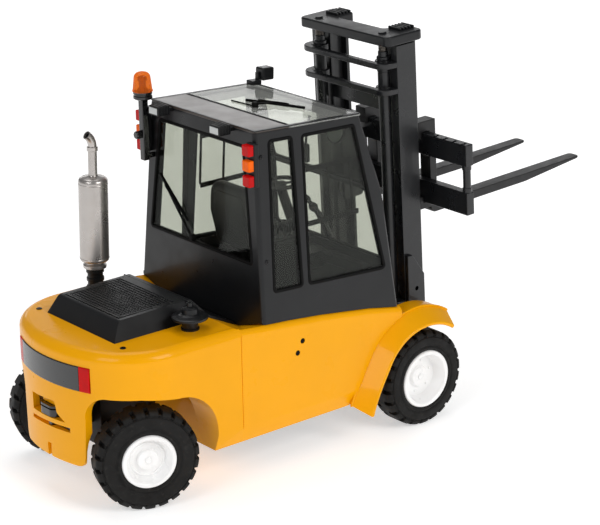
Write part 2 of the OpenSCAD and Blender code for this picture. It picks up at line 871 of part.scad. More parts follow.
exhaust = [-89.2, 26.6];
exhaust_lean = 1.8;
tip_bend = 5;
tip_angle = 55;

module exhaust_base() {
    color(black) placed() {
        translate([exhaust[0], exhaust[1], deck_z]) {
            cylinder(h = 2.2, r1 = 3.6, r2 = 3);
            translate([0, 0, 2.2]) cylinder(h = 5.6, r = 2.4);
        }
    }
}

module exhaust_muffler() {
    color(silver) placed() translate([exhaust[0], exhaust[1], deck_z + 7.9])
        rotate([0, exhaust_lean, 0]) {
        rotate_extrude() polygon([[0, 0], [3.9, 0], [3.9, 1.2], [3, 1.8], [4.3, 2.3], [4.9, 3],
            [4.9, 30], [4.4, 31], [1.5, 31.4], [1.5, 40], [0, 40]]);
        translate([0, 0, 40]) cylinder(h = 1.4, r = 1.85);
        // Open tip, bent to the back
        translate([-tip_bend, 0, 41.4]) rotate([90, 0, 0])
            rotate_extrude(angle = tip_angle) translate([tip_bend, 0]) difference() {
                circle(r = 1.45, $fn = 24);
                circle(r = 1.1, $fn = 24);
            }
    }
}

cleaner = [-87.8, -24];

// Round intake pipe with a thin brim and a knob on its cap
module air_cleaner() {
    color(black) placed() translate([cleaner[0], cleaner[1], deck_z]) rotate_extrude()
        polygon([[0, 0], [2.6, 0], [2.6, 3.2], [5.6, 3.5], [5.9, 3.8], [5.9, 4.4], [5.6, 4.7],
            [2.7, 5.2], [2.6, 7], [2.2, 7.4], [1, 7.5], [1, 9], [0, 9]]);
}

// ---- back of the counterweight ----

panel_angle = 22.9;
reflector_angle = 18.4;
panel_seat = 0.6;
panel_z0 = 39.5;
panel_z1 = 47.8;

// Band that follows the back between two angles either side of the middle
module panel_ring(a0, a1, r0, r1) {
    translate([back_c[0], 0, panel_z0]) rotate([0, 0, 180 - a1])
        rotate_extrude(angle = a0 == 0 ? 2 * a1 : a1 - a0, $fn = 180)
        translate([r0, 0]) square([r1 - r0, panel_z1 - panel_z0]);
}

module rear_panel() {
    color(anthracite) placed() panel_ring(0, reflector_angle, back_r - panel_seat,
        back_r + panel_proud);
}

module rear_reflectors() {
    color(red) placed() both_sides() panel_ring(reflector_angle, panel_angle,
        back_r - panel_seat, back_r + panel_proud);
}

// Black towing jaw in its recess, with the pin that stands through the groove
module tow_coupling() {
    color(black) placed() {
        difference() {
            block([rear_x + 0.6, -3.8, 27.2], [rear_x + 4, 5.4, 30.4]);
            block([rear_x - over, -1.8, 28.6], [rear_x + 2.6, 3.6, 31]);
        }
        block([rear_x + 1, -0.9, groove_z], [rear_x + 3, 0.5, groove_z + 1.4]);
    }
}

// Cross-head screws of the deck and of the cab
module body_screws() {
    color(steel) placed() {
        both_sides() translate([-113.5, 23.7, deck_z]) cylinder(h = 0.35, r = 1);
        both_sides() for (p = [[-61.6, 105.3], [-62.4, 71.3]])
            translate([0, roof_half, roof_z]) rotate([side_lean, 0, 0])
                translate([p[0], 0, p[1] - roof_z]) rotate([-90, 0, 0])
                cylinder(h = 0.35, r = 0.8);
    }
}

// ---- mast, drawn in the mast frame ----

rail_u0 = 6.75;
rail_u1 = 15;
rail_t = 1.3;
rail_in = 19;
rail_v0 = -12;
rail_v1 = 112.5;
lift_u = 5.6;
lift_y = 16.3;
lift_r = 2.05;
tie_u = 0.6;
tie_v = [20.4, 96.2, 105.2];
tie_h = 1.9;

// Plan of a tie that runs behind the lift cylinders from rail to rail
module tie_plan() {
    band = 2.3;
    outer = [[tie_u, -mast_half], [tie_u, mast_half], [rail_u0 + 3, mast_half],
        [rail_u0 + 3, -mast_half]];
    inner = [[tie_u + band, 3 - mast_half], [tie_u + band, mast_half - 3],
        [rail_u0 + 6, mast_half - 3], [rail_u0 + 6, 3 - mast_half]];
    difference() {
        polygon(rounded(outer, 2.8, 6));
        polygon(rounded(inner, 1.8, 6));
        translate([rail_u0, -mast_half - over]) square([10, 2 * mast_half + 2 * over]);
    }
}

tilt_pin = [-1.6, 21.4];

module outer_mast() {
    color(anthracite) in_mast() {
        difference() {
            union() {
                both_sides() difference() {
                    block([rail_u0, rail_in, rail_v0], [rail_u1, mast_half, rail_v1]);
                    block([rail_u0 + rail_t, rail_in - over, rail_v0 - over],
                        [rail_u1 - rail_t, mast_half - 1.5, rail_v1 + over]);
                }
                for (v = tie_v) translate([0, 0, v]) linear_extrude(tie_h) tie_plan();
                // Bottom tie under the lift cylinders
                block([2, -mast_half, rail_v0], [rail_u0 + rail_t, mast_half, rail_v0 + 3]);
                // Foot plates that turn on the front axle
                both_sides() across(mast_half, mast_half + 1.5, concat(
                    arc([0, 0], 5.4, 120, 280, 10), [[8, -9.5], [rail_u1 - 0.4, -6],
                    [rail_u1 - 0.4, 30.5], [9.4, 38.6], [7.2, 38.6], [6.8, 18]]));
                // Ears for the tilt rods
                both_sides() across(tilt_y + 1.3, tilt_y + 2.8, concat(
                    [[tie_u + 0.6, tie_v[0]], [tie_u + 0.6, tie_v[0] + tie_h]],
                    arc(tilt_pin, 1.7, 90, 270, 8)));
            }
            rod_y(0, 0, -30, 30, axle_tube_r + run_gap);
        }
        both_sides() rod_y(tilt_pin[0], tilt_pin[1], tilt_y - 1.6, tilt_y + 2.8, 0.6);
    }
}

module lift_cylinders() {
    color(anthracite) in_mast() both_sides() difference() {
        union() {
            rod_z(lift_u, lift_y, rail_v0 + 3, 108.6, lift_r);
            rod_z(lift_u, lift_y, 108.6, 110.4, lift_r - 0.35);
        }
        rod_z(lift_u, lift_y, 16, 120, 1 + run_gap);
    }
}

module lift_rods() {
    color(steel) in_mast() both_sides() rod_z(lift_u, lift_y, 18, mast_top - 3.4, 1);
}

inner_u0 = 8.6;
inner_u1 = 17;
inner_t = 1.3;
inner_y = [14.5, 19.9];
web_y = [16.9, 18.3];

// Inner rails of H section with the two ties that join them
module inner_mast() {
    color(anthracite) in_mast() {
        both_sides() {
            block([inner_u0, inner_y[0], rail_v0], [inner_u0 + inner_t, inner_y[1], mast_top - 3.4]);
            block([inner_u0, web_y[0], rail_v0], [inner_u1, web_y[1], mast_top - 3.4]);
            block([inner_u1 - inner_t, inner_y[0], rail_v0], [inner_u1, inner_y[1], mast_top - 3.4]);
        }
        for (v = [-11, 88]) block([inner_u0, -inner_y[0], v], [inner_u0 + inner_t, inner_y[0], v + 5]);
    }
}

head_u0 = 1.9;
head_u1 = 18.2;
head_half = 22.8;
head_t = 3.4;
head_beam = 10.2;

// Crosshead: a beam over the lift rods with an arm forward over each inner rail
module crosshead() {
    color(anthracite) in_mast() {
        translate([0, 0, mast_top - head_t]) linear_extrude(head_t) difference() {
            polygon(rounded([[head_u0, -head_half], [head_u0, head_half], [head_u1, head_half],
                [head_u1, -head_half]], 1.4));
            polygon(rounded([[head_beam, -12.4], [head_beam, 12.4], [head_u1 + 4, 12.4],
                [head_u1 + 4, -12.4]], 1));
        }
        // Ribbed pads on the arms
        both_sides() for (i = [0:4])
            block([11 + i * 1.4, 12.9, mast_top], [11.8 + i * 1.4, 19.4, mast_top + 0.9]);
        both_sides() rod_z(lift_u, lift_y, mast_top, mast_top + 0.5, 1.3);
    }
}

// ---- tilt cylinders ----

// Pivot of the tilt rods in the axle frame, as drawn
tilt_eye = [tilt_pin[0] * cos(mast_tilt) - tilt_pin[1] * sin(mast_tilt),
    tyre_r + tilt_pin[0] * sin(mast_tilt) + tilt_pin[1] * cos(mast_tilt)];
tilt_dir = tilt_eye - tilt_pivot;
tilt_len = norm(tilt_dir);
tilt_angle = atan2(tilt_dir[1], tilt_dir[0]);
barrel_len = 20;

// Frame of the tilt cylinders: X from the chassis pivot to the mast pin
module in_tilt() {
    translate([origin_x + tilt_pivot[0], 0, tilt_pivot[1]]) rotate([0, -tilt_angle, 0]) children();
}

module tilt_barrels() {
    color(anthracite) in_tilt() both_sides() difference() {
        union() {
            rod_y(0, 0, tilt_y - 1.9, tilt_y + 1.9, 2);
            translate([1.2, tilt_y, 0]) rotate([0, 90, 0]) cylinder(h = barrel_len, r = 1.8);
        }
        rod_y(0, 0, 0, 30, 0.9 + run_gap);
        translate([4, tilt_y, 0]) rotate([0, 90, 0]) cylinder(h = 40, r = 0.9 + run_gap);
    }
}

// Rods whose eyes sit round the mast pins with play, the open joint of the linkage
module tilt_rods() {
    color(steel) in_tilt() both_sides() difference() {
        union() {
            translate([10, tilt_y, 0]) rotate([0, 90, 0]) cylinder(h = tilt_len - 11, r = 0.9);
            rod_y(tilt_len, 0, tilt_y - 1, tilt_y + 1, 1.7);
        }
        rod_y(tilt_len, 0, tilt_y - 3, tilt_y + 3, 0.95);
    }
}

// ---- carriage and forks, drawn in the mast frame ----

bar_u0 = 21.7;
bar_u1 = 25;
bar_half = 38.1;
upper_bar = [70.3, 77.9];
lower_bar = [53, 61];
plate_y = [12.6, 14];
roller_u = inner_u0 + inner_t + 2.9;
roller_v = [54.4, 76];

module carriage() {
    color(anthracite) in_mast() {
        difference() {
            block([bar_u0, -bar_half, upper_bar[0]], [bar_u1, bar_half, upper_bar[1]]);
            for (y = [-36:4.5:36])
                block([bar_u0 - over, y - 0.6, upper_bar[1] - 0.7], [bar_u1 - 1.1, y + 0.6, 90]);
        }
        block([bar_u0, -bar_half, lower_bar[0]], [bar_u1, bar_half, lower_bar[1]]);
        both_sides() {
            across(plate_y[0], plate_y[1], [[10.4, 50], [19, 50], [19, 57], [bar_u0, 57],
                [bar_u0, 74], [19, 74], [19, 80], [10.4, 80]]);
            rod_z((bar_u0 + bar_u1) / 2, bar_half - 1.6, lower_bar[1], upper_bar[0], 1.6);
            for (v = roller_v) rod_y(roller_u, v, plate_y[1], plate_y[1] + 0.5, 1.4);
        }
    }
}

// Rollers that run between the flanges of the inner rails
module carriage_rollers() {
    color(steel) in_mast() both_sides() for (v = roller_v)
        rod_y(roller_u, v, plate_y[1] + 0.5, web_y[0] - 0.3, 2.75);
}

fork_w = 5.1;
shank_t = 3;
fork_t = 3;
hook_gap = 0.1;
tip_r = 1.2;
shank_top = 81.8;

// L-shaped fork with a hook over the upper bar and one under the lower bar
module fork(side) {
    u0 = bar_u1 + hook_gap;
    u1 = u0 + shank_t;
    back = bar_u0 - hook_gap;
    hook = 1.5;
    y0 = fork_y - fork_w / 2;
    y1 = fork_y + fork_w / 2;
    color(anthracite) in_mast() on_side(side) intersection() {
        across(y0, y1, concat(
            [[u0, shank_top], [u0 - 4.9, shank_top], [back - hook, 76], [back, 76],
            [back, upper_bar[1] + hook_gap], [u0, upper_bar[1] + hook_gap],
            [u0, lower_bar[0] - hook_gap], [back, lower_bar[0] - hook_gap], [back, 55],
            [back - hook, 55], [back - hook, fork_v - 0.6], [u0, fork_v - 0.6]],
            arc([u0 + 2, fork_v - fork_t + 2], 2, 180, 270, 5),
            [[u0 + 46, fork_v - fork_t], [fork_reach, fork_v - tip_t], [fork_reach, fork_v]],
            arc([u1 + 1.5, fork_v + 1.5], 1.5, 270, 180, 5),
            [[u1, shank_top]]));
        // Plan of the fork with the corners of its tip rounded
        linear_extrude(shank_top + over) polygon(concat(
            [[back - hook - over, y0]],
            arc([fork_reach - tip_r, y0 + tip_r], tip_r, 270, 360, 6),
            arc([fork_reach - tip_r, y1 - tip_r], tip_r, 0, 90, 6),
            [[back - hook - over, y1]]));
    }
}

chassis_body();
counterweight();
underframe();
front_axle();
steer_axle();
engine_hood();
hood_grille();
cab_shell();
roof_panel();
roof_glass();
windscreens();
rear_window();
side_windows();
window_gaskets();
cab_floor();
seat_base();
seat_cushion();
seat_back();
steering_column();
steering_wheel();
control_console();
control_levers();
work_lights();
work_light_lenses();
lamp_brackets();
red_lamps();
amber_lamps();
beacon_post();
beacon_lens();
roof_camera();
roof_wiper();
rear_wiper();
exhaust_base();
exhaust_muffler();
air_cleaner();
rear_panel();
rear_reflectors();
tow_coupling();
body_screws();
knuckle(1);  // knuckle_left
knuckle(-1);  // knuckle_right
rim_front(1);  // rim_front_left
rim_front(-1);  // rim_front_right
rim_rear(1);  // rim_rear_left
rim_rear(-1);  // rim_rear_right
tyre_front(1);  // tyre_front_left
tyre_front(-1);  // tyre_front_right
tyre_rear(1);  // tyre_rear_left
tyre_rear(-1);  // tyre_rear_right
outer_mast();
lift_cylinders();
lift_rods();
inner_mast();
crosshead();
tilt_barrels();
tilt_rods();
carriage();
carriage_rollers();
fork(1);  // fork_left
fork(-1);  // fork_right
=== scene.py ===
"""Looks of the toy forklift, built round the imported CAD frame. Lengths in the helpers are
millimetres in a frame with the front axle at x = 0 on the ground; ORIGIN_X moves it to the row frame."""
import json
from math import acos, atan2, cos, degrees, hypot, pi, radians, sin, tan

import bmesh
import bpy
from mathutils import Matrix, Vector


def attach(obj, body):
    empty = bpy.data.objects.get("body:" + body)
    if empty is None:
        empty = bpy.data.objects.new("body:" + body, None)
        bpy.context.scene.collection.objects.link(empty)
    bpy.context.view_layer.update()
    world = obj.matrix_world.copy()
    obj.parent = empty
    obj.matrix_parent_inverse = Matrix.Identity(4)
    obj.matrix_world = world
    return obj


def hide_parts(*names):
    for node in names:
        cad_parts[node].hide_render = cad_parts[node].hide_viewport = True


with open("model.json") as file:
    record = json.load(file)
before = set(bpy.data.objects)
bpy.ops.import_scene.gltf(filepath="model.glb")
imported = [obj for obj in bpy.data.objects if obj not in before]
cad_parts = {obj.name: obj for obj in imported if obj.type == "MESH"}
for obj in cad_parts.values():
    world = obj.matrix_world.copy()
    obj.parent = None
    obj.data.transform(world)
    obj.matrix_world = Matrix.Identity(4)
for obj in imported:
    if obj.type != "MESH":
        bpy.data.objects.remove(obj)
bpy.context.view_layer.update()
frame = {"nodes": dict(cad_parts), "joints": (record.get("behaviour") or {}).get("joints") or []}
JOINT = {j["name"]: j for j in frame["joints"]}
ORIGIN_X = JOINT["mast_tilt"]["pos_m"][0] * 1000
# Driving dimensions: tyres, how far the mast leans back and the rear wheels are turned, wheel places
TYRE_R = 16.8
TYRE_W = 10.4
RIM_R = {"front": 10.1, "rear": 8.9}
MAST_TILT = 2.6
STEER = 20
WHEELBASE = 107.2
FRONT_FACE_Y = 38.8
KINGPIN_Y = 21.5
HUB_OUT = 11.2
# Body: half width, lower edge, deck, seam of the counterweight, its round back, front arch
BODY_HALF = 34.6
SKIRT_Z = 13.4
DECK_Z = 53.2
SEAM_X = -75.4
BACK_X = -77.5
BACK_R = 50
ARCH_R = 24.4
# Mast, in its own upright frame: lift cylinders, ties between the rails, carriage rollers
LIFT_AT = (5.6, 16.3)
TIES = (20.4, 96.2, 105.2)
ROLLER_X = 12.8
ROLLERS = (54.4, 76)
# Beacon pole behind the cab
BEACON_AT = (-68.6, 24.4)
ROW = Matrix.Translation((ORIGIN_X, 0, 0))
FLIP = Matrix.Scale(-1, 4, (0, 1, 0))
MAST = Matrix.Translation((ORIGIN_X, 0, TYRE_R)) @ Matrix.Rotation(radians(-MAST_TILT), 4, "Y")


# ---------------- outlines

def arc(cx, cy, r, a0, a1, n):
    return [(cx + r * cos(radians(a0 + (a1 - a0) * i / n)), cy + r * sin(radians(a0 + (a1 - a0) * i / n)))
        for i in range(n + 1)]


def rect(a0, b0, a1, b1):
    return [(a0, b0), (a1, b0), (a1, b1), (a0, b1)]


def corner(pts, i):
    """Corner of an outline: its point, the directions away from it and half its angle."""
    a, b, c = (Vector(p) for p in (pts[i - 1], pts[i], pts[(i + 1) % len(pts)]))
    u, v = (a - b).normalized(), (c - b).normalized()
    return b, u, v, acos(max(-1, min(1, u.dot(v)))) / 2


def rounded(pts, r, n=5):
    """Outline with each corner rounded; r is one radius or one per corner."""
    out = []
    for i in range(len(pts)):
        rad = r[i] if isinstance(r, (list, tuple)) else r
        b, u, v, half = corner(pts, i)
        if rad <= 0:
            out.append(tuple(b))
            continue
        m = b + (u + v).normalized() * rad / sin(half)
        t = rad / tan(half)
        p0, p1 = b + u * t - m, b + v * t - m
        for k in range(n + 1):
            d = p0 * (1 - k / n) + p1 * (k / n)
            out.append(tuple(m + d.normalized() * rad))
    return out


def inset(pts, d):
    """Outline with each side moved inwards by d."""
    out = []
    for i in range(len(pts)):
        b, u, v, half = corner(pts, i)
        out.append(tuple(b + (u + v).normalized() * d / sin(half)))
    return out


# ---------------- solids

PLANES = {"xz": lambda a, b, t: (a, t, b), "yz": lambda a, b, t: (t, a, b), "xy": lambda a, b, t: (a, b, t)}


def outward(bm):
    bmesh.ops.recalc_face_normals(bm, faces=bm.faces[:])
    return bm


def bevel(bm, width, seg=2, angle=25, pick=None):
    if width <= 0:
        return bm
    edges = [e for e in bm.edges if len(e.link_faces) == 2 and e.calc_face_angle(0) > radians(angle)
        and (pick is None or pick(e))]
    bmesh.ops.bevel(bm, geom=edges, offset=width, segments=seg, profile=0.5, affect="EDGES",
        clamp_overlap=True)
    return bm


def prism(pts, t0, t1, plane="xz", bev=0.2, seg=2, pick=None):
    """Extrudes an outline along the axis that its plane leaves out."""
    bm = bmesh.new()
    rings = [[bm.verts.new(PLANES[plane](a, b, t)) for a, b in pts] for t in (t0, t1)]
    n = len(pts)
    bm.faces.new(rings[0])
    bm.faces.new(rings[1])
    for i in range(n):
        bm.faces.new((rings[0][i], rings[0][(i + 1) % n], rings[1][(i + 1) % n], rings[1][i]))
    return bevel(outward(bm), bev, seg, pick=pick)


def box(lo, hi, bev=0.2, seg=2):
    return prism(rect(*lo[:2], *hi[:2]), lo[2], hi[2], "xy", bev, seg)


def loft(rings, closed=True, caps=True):
    """Skin over rings of points that have the same count."""
    bm = bmesh.new()
    vs = [[bm.verts.new(p) for p in ring] for ring in rings]
    n = len(rings[0])
    for a, b in zip(vs, vs[1:]):
        for i in range(n if closed else n - 1):
            j = (i + 1) % n
            bm.faces.new((a[i], a[j], b[j], b[i]))
    if caps:
        bm.faces.new(vs[0])
        bm.faces.new(vs[-1])
    return outward(bm)


def hoop(rings, closed=True):
    """Skin over rings of points that ends on the first ring again."""
    bm = loft(rings + [rings[0]], closed, caps=False)
    bmesh.ops.remove_doubles(bm, verts=bm.verts[:], dist=1e-5)
    return outward(bm)


def spun(profile, n, a0=0, a1=360, more=0):
    """An (r, h) outline at n steps of a turn about Z, and more steps after them."""
    return [[(r * cos(a), r * sin(a), h) for r, h in profile]
        for a in (radians(a0 + (a1 - a0) * k / n) for k in range(n + more))]


def lathe(profile, n=48):
    """Turns an open (r, h) line about Z. It starts and ends at r = 0."""
    return hoop(spun(profile, n), closed=False)


def ring(profile, n=64, a0=0, a1=360):
    """Turns a closed (r, h) outline about Z, capped where it isn't a full turn."""
    if a1 - a0 >= 360:
        return hoop(spun(profile, n))
    return loft(spun(profile, n, a0, a1, 1))


def tube(points, r, n=12, closed=False, caps=True):
    """Round tube along points; r is one radius or one per point."""
    pts = [Vector(p) for p in points]
    rings = []
    normal = None
    for i, p in enumerate(pts):
        if closed:
            t = (pts[(i + 1) % len(pts)] - pts[i - 1]).normalized()
        else:
            t = (pts[min(i + 1, len(pts) - 1)] - pts[max(i - 1, 0)]).normalized()
        if normal is None:
            normal = t.orthogonal().normalized()
        normal = (normal - t * normal.dot(t)).normalized()
        side = t.cross(normal)
        rad = r[i] if isinstance(r, (list, tuple)) else r
        rings.append([tuple(p + (normal * cos(2 * pi * k / n) + side * sin(2 * pi * k / n)) * rad)
            for k in range(n)])
    return hoop(rings) if closed else loft(rings, caps=caps)


def turned(bm, *mats):
    for m in mats:
        bmesh.ops.transform(bm, matrix=m, verts=bm.verts[:])
    if mats and sum(1 for m in mats if m.determinant() < 0) % 2:
        bmesh.ops.reverse_faces(bm, faces=bm.faces[:])
    return bm


def mirrored(bm):
    return turned(bm.copy(), FLIP)


def sides(bm):
    """The solid and its mirror image across the middle."""
    return [bm, mirrored(bm)]


def move(x, y, z):
    return Matrix.Translation((x, y, z))


def rot(angle, axis):
    return Matrix.Rotation(radians(angle), 4, axis)


def joined(bms):
    out = bmesh.new()
    for b in bms:
        me = bpy.data.meshes.new("tmp")
        b.to_mesh(me)
        out.from_mesh(me)
        bpy.data.meshes.remove(me)
        b.free()
    return out


def linked(name, data):
    """New object in the scene."""
    o = bpy.data.objects.new(name, data)
    bpy.context.collection.objects.link(o)
    return o


def solid(name, bm):
    """New object with the mesh of a solid, which is freed."""
    me = bpy.data.meshes.new(name)
    bm.to_mesh(me)
    bm.free()
    return linked(name, me)


def boolean(base, cutters, op="DIFFERENCE"):
    """Exact boolean of closed solids, in millimetres."""
    a = solid("tmp", base)
    others = [solid("tmp", c) for c in cutters]
    for o in others:
        m = a.modifiers.new("b", "BOOLEAN")
        m.solver, m.operation, m.object = "EXACT", op, o
    got = a.evaluated_get(bpy.context.evaluated_depsgraph_get())
    me = bpy.data.meshes.new_from_object(got)
    out = bmesh.new()
    out.from_mesh(me)
    bmesh.ops.remove_doubles(out, verts=out.verts[:], dist=1e-4)
    bmesh.ops.dissolve_degenerate(out, edges=out.edges[:], dist=1e-4)
    for o in (a, *others):
        bpy.data.objects.remove(o, do_unlink=True)
    return out


# ---------------- materials

def rgb(h):
    c = [int(h[i:i + 2], 16) / 255 for i in (0, 2, 4)]
    return [x / 12.92 if x < 0.04045 else ((x + 0.055) / 1.055) ** 2.4 for x in c]


def fill(node, **values):
    """Sets a node's inputs; an underscore stands for a space in an input's name."""
    for k, v in values.items():
        node.inputs[k.replace("_", " ")].default_value = v
    return node


def blank(name):
    """New material, the makers of its nodes and links, its shader and object coordinates."""
    m = bpy.data.materials.new(name)
    m.use_nodes = True
    nt = m.node_tree
    place = nt.nodes.new("ShaderNodeTexCoord").outputs["Object"]
    return m, nt.nodes.new, nt.links.new, nt.nodes["Principled BSDF"], place


def uneven(new, link, value, at, lo, hi, low, high):
    """Spreads the range lo to hi of a noise over low to high."""
    spread = fill(new("ShaderNodeMapRange"), From_Min=lo, From_Max=hi, To_Min=low, To_Max=high)
    link(value, spread.inputs["Value"])
    link(spread.outputs["Result"], at)


def material(name, colour, rough, metallic=0, coat=0, spec=0.5, vary=0.06, patch=90, rough_vary=0.06,
        grain=1800, bump=0.15, depth=0.00003, dust=0, tint=None, **more):
    """Finish with patches of colour, uneven gloss and a fine grain, all from noise."""
    m, new, link, b, place = blank(name)

    def noise(scale, detail=3, rougher=0.55):
        n = fill(new("ShaderNodeTexNoise"), Scale=scale, Detail=detail, Roughness=rougher)
        link(place, n.inputs["Vector"])
        return n.outputs["Fac"]
    c = rgb(colour)
    ramp = new("ShaderNodeValToRGB")
    lo = [x * (1 - vary) for x in c]
    hi = [min(1, x * (1 + vary)) for x in (rgb(tint) if tint else c)]
    ends = ramp.color_ramp.elements
    ends[0].position, ends[1].position = 0.3, 0.7
    ends[0].color, ends[1].color = (*lo, 1), (*hi, 1)
    link(noise(patch), ramp.inputs["Fac"])
    out = ramp.outputs["Color"]
    if dust > 0:
        mix = new("ShaderNodeMix")
        mix.data_type = "RGBA"
        uneven(new, link, noise(patch * 5, 6, 0.7), mix.inputs["Factor"], 0.55, 0.8, 0, dust)
        link(out, mix.inputs["A"])
        mix.inputs["B"].default_value = (0.2, 0.18, 0.155, 1)
        out = mix.outputs["Result"]
    link(out, b.inputs["Base Color"])
    uneven(new, link, noise(patch * 2.3), b.inputs["Roughness"], 0.3, 0.7, max(0.02, rough - rough_vary),
        min(1, rough + rough_vary))
    if bump > 0:
        bp = fill(new("ShaderNodeBump"), Strength=bump, Distance=depth)
        link(noise(grain, 2), bp.inputs["Height"])
        link(bp.outputs["Normal"], b.inputs["Normal"])
    fill(b, Metallic=metallic, Coat_Weight=coat, Coat_Roughness=0.06, Specular_IOR_Level=spec, **more)
    return m


def clear(name, tint, haze, rough=0.03, share=0.05, mirror=1):
    """Clear plastic: a share of gloss over tinted see-through."""
    m, new, link, b, place = blank(name)
    see = fill(new("ShaderNodeBsdfTransparent"), Color=(*tint, 1))
    fill(b, Base_Color=(*haze, 1), Metallic=mirror)
    n = fill(new("ShaderNodeTexNoise"), Scale=140, Detail=4)
    link(place, n.inputs["Vector"])
    uneven(new, link, n.outputs["Fac"], b.inputs["Roughness"], 0.35, 0.75, rough, rough + 0.05)
    mix = fill(new("ShaderNodeMixShader"), Fac=share)
    link(see.outputs["BSDF"], mix.inputs[1])
    link(b.outputs["BSDF"], mix.inputs[2])
    link(mix.outputs["Shader"], m.node_tree.nodes["Material Output"].inputs["Surface"])
    return m


YELLOW = material("yellow_paint", "F6AA00", 0.3, coat=0.2, spec=0.1, vary=0.035, patch=35, rough_vary=0.04,
    grain=420, bump=0.12, depth=0.00002)
GREY = material("anthracite_paint", "141517", 0.34, coat=0.08, spec=0.3, vary=0.1, patch=70,
    rough_vary=0.07, grain=1500, bump=0.16)
MASTGREY = material("mast_paint", "191A1C", 0.32, coat=0.14, spec=0.4, vary=0.12, patch=80, rough_vary=0.08,
    grain=1300, bump=0.2, dust=0.04)
ROOF = material("roof_paint", "453D37", 0.34, coat=0.2, spec=0.35, patch=60, rough_vary=0.05, grain=900)
BLACK = material("black_plastic", "111213", 0.42, vary=0.15, patch=120, rough_vary=0.08, grain=2600,
    bump=0.08, spec=0.3)
GLOSS = material("black_gloss_plastic", "0D0D0E", 0.2, coat=0.3, vary=0.15, grain=900, bump=0.1)
METAL = material("black_metal", "1C1C1D", 0.45, metallic=0.2, vary=0.15, patch=100, grain=1500, bump=0.2,
    dust=0.08)
SEAT = material("seat_plastic", "171818", 0.42, vary=0.12, patch=150, rough_vary=0.1, grain=2200, bump=0.12)
SEAL = material("rubber_seal", "080808", 0.6, vary=0.15, patch=200, spec=0.12)
WHITE = material("white_rim", "F4F3F2", 0.3, coat=0.3, vary=0.02, patch=60, rough_vary=0.05, grain=700,
    bump=0.08, tint="FFFFFF")
TYRE = material("tyre_rubber", "121110", 0.66, vary=0.18, patch=130, rough_vary=0.1, grain=1500, bump=0.45,
    depth=0.00007, dust=0.1, spec=0.25)
SILVER = material("silver_paint", "B7B2AE", 0.3, metallic=0.85, vary=0.05, patch=80, grain=2400, bump=0.2)
STEEL = material("bright_steel", "BDBDBD", 0.3, metallic=1, patch=200, grain=1600)
RED, AMBER = (material(name, colour, 0.22, coat=0.03, spec=0.12, vary=0.1, patch=260, grain=700) for name,
    colour in (("red_lens", "C20A0C"), ("amber_lens", "F06406")))
LENS = material("white_lens", "C9CCCB", 0.16, coat=0.5, vary=0.05, patch=300, grain=1400, bump=0.4)
PANE = clear("clear_pane", (0.79, 0.8, 0.765), (0.8, 0.82, 0.79), share=0.022)
ROOFPANE = clear("clear_roof", (0.8, 0.81, 0.78), (0.85, 0.86, 0.83), rough=0.06, share=0.28, mirror=0.25)
BEACON = clear("amber_clear", (0.93, 0.42, 0.12), (0.8, 0.2, 0.02), rough=0.06, share=0.35, mirror=0)
MIRROR = material("mirror_face", "A9B0AA", 0.12, metallic=0.6, vary=0.05, patch=100, bump=0)
DARKSTEEL = material("dark_steel", "2B2B2C", 0.3, metallic=0.8, patch=200, grain=1600)
AXLE = material("axle_paint", "0B0B0C", 0.5, vary=0.15, patch=100, grain=1500, bump=0.2, dust=0.05,
    spec=0.3)
BADGE = material("badge_gloss", "222324", 0.22, coat=0.3, patch=80, grain=800, bump=0.06)
ROD = material("rod_steel", "6E6862", 0.3, metallic=0.85, vary=0.1, patch=160, grain=1200, bump=0.1)
BULB = material("beacon_bulb", "B0522A", 0.25, coat=0.5, vary=0.15, patch=200, grain=600, bump=0.1)


# ---------------- pieces

def piece(name, bms, mat, replaces=None, smooth=35, body="chassis", at=ROW):
    """Joins solids into one piece in metres that rides on a body."""
    bm = joined(bms if isinstance(bms, (list, tuple)) else [bms])
    turned(bm, at, Matrix.Scale(0.001, 4))
    o = solid(name, bm)
    me = o.data
    me.materials.append(mat)
    for p in me.polygons:
        p.use_smooth = True
    me.set_sharp_from_angle(angle=radians(smooth))
    o.modifiers.new("wn", "WEIGHTED_NORMAL").keep_sharp = True
    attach(o, body)
    if replaces:
        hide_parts(replaces)


def finish_node(name, mat):
    """Gives a carried-over CAD node its finish."""
    o = frame["nodes"][name]
    for s in o.material_slots:
        s.material = mat
    if not o.material_slots:
        o.data.materials.append(mat)


# ---------------- body

ROOF_Z, ROOF_FRONT, CAB_REAR, CAB_FRONT = 113.9, 111.9, -63.4, -19.6
ROOF_HALF, SIDE_LEAN, REAR_LEAN = 27.9, 4.9, 2.2
# Line along which the cab meets the body
BODY_TOP = [(-8.2, 43.8), (-21, 46.3), (-29.6, 47.5), (-42.4, 49.2), (-55, 50.5), (-65.8, 51.3),
    (-75.4, 52.3)]


def cab_half(z):
    return ROOF_HALF + (ROOF_Z - z) * tan(radians(SIDE_LEAN))


def plan(d):
    """Outline of the counterweight from above, drawn in by d."""
    half = (arc(BACK_X, 0, BACK_R - d, 180, 156.4, 9) + arc(-101.03, 10.28, 24.32 - d, 152.4, 90, 12)
        + [(-88, BODY_HALF - d), (SEAM_X, BODY_HALF - d)])
    return half + [(x, -y) for x, y in half[:0:-1]]


def skirt(x0, x1):
    """Wedge that draws in the lower side."""
    return prism([(BODY_HALF, 19.2), (37, 19.2), (37, 0), (32, 0), (32.5, SKIRT_Z)], x0, x1, "yz", 0)


def valley():
    """Valley of the deck behind the cab."""
    top = DECK_Z + 1
    a = prism([(BACK_X, top), (BACK_X, DECK_Z), (-66, 47.6), (-64.2, 47.6), (-64.2, top)], -36, 36, "xz", 0)
    b = prism([(-33, top), (-33, 51.3), (-20, 47.6), (20, 47.6), (33, 51.3), (33, top)], -79, -64, "yz", 0)
    return boolean(a, [b], "INTERSECT")


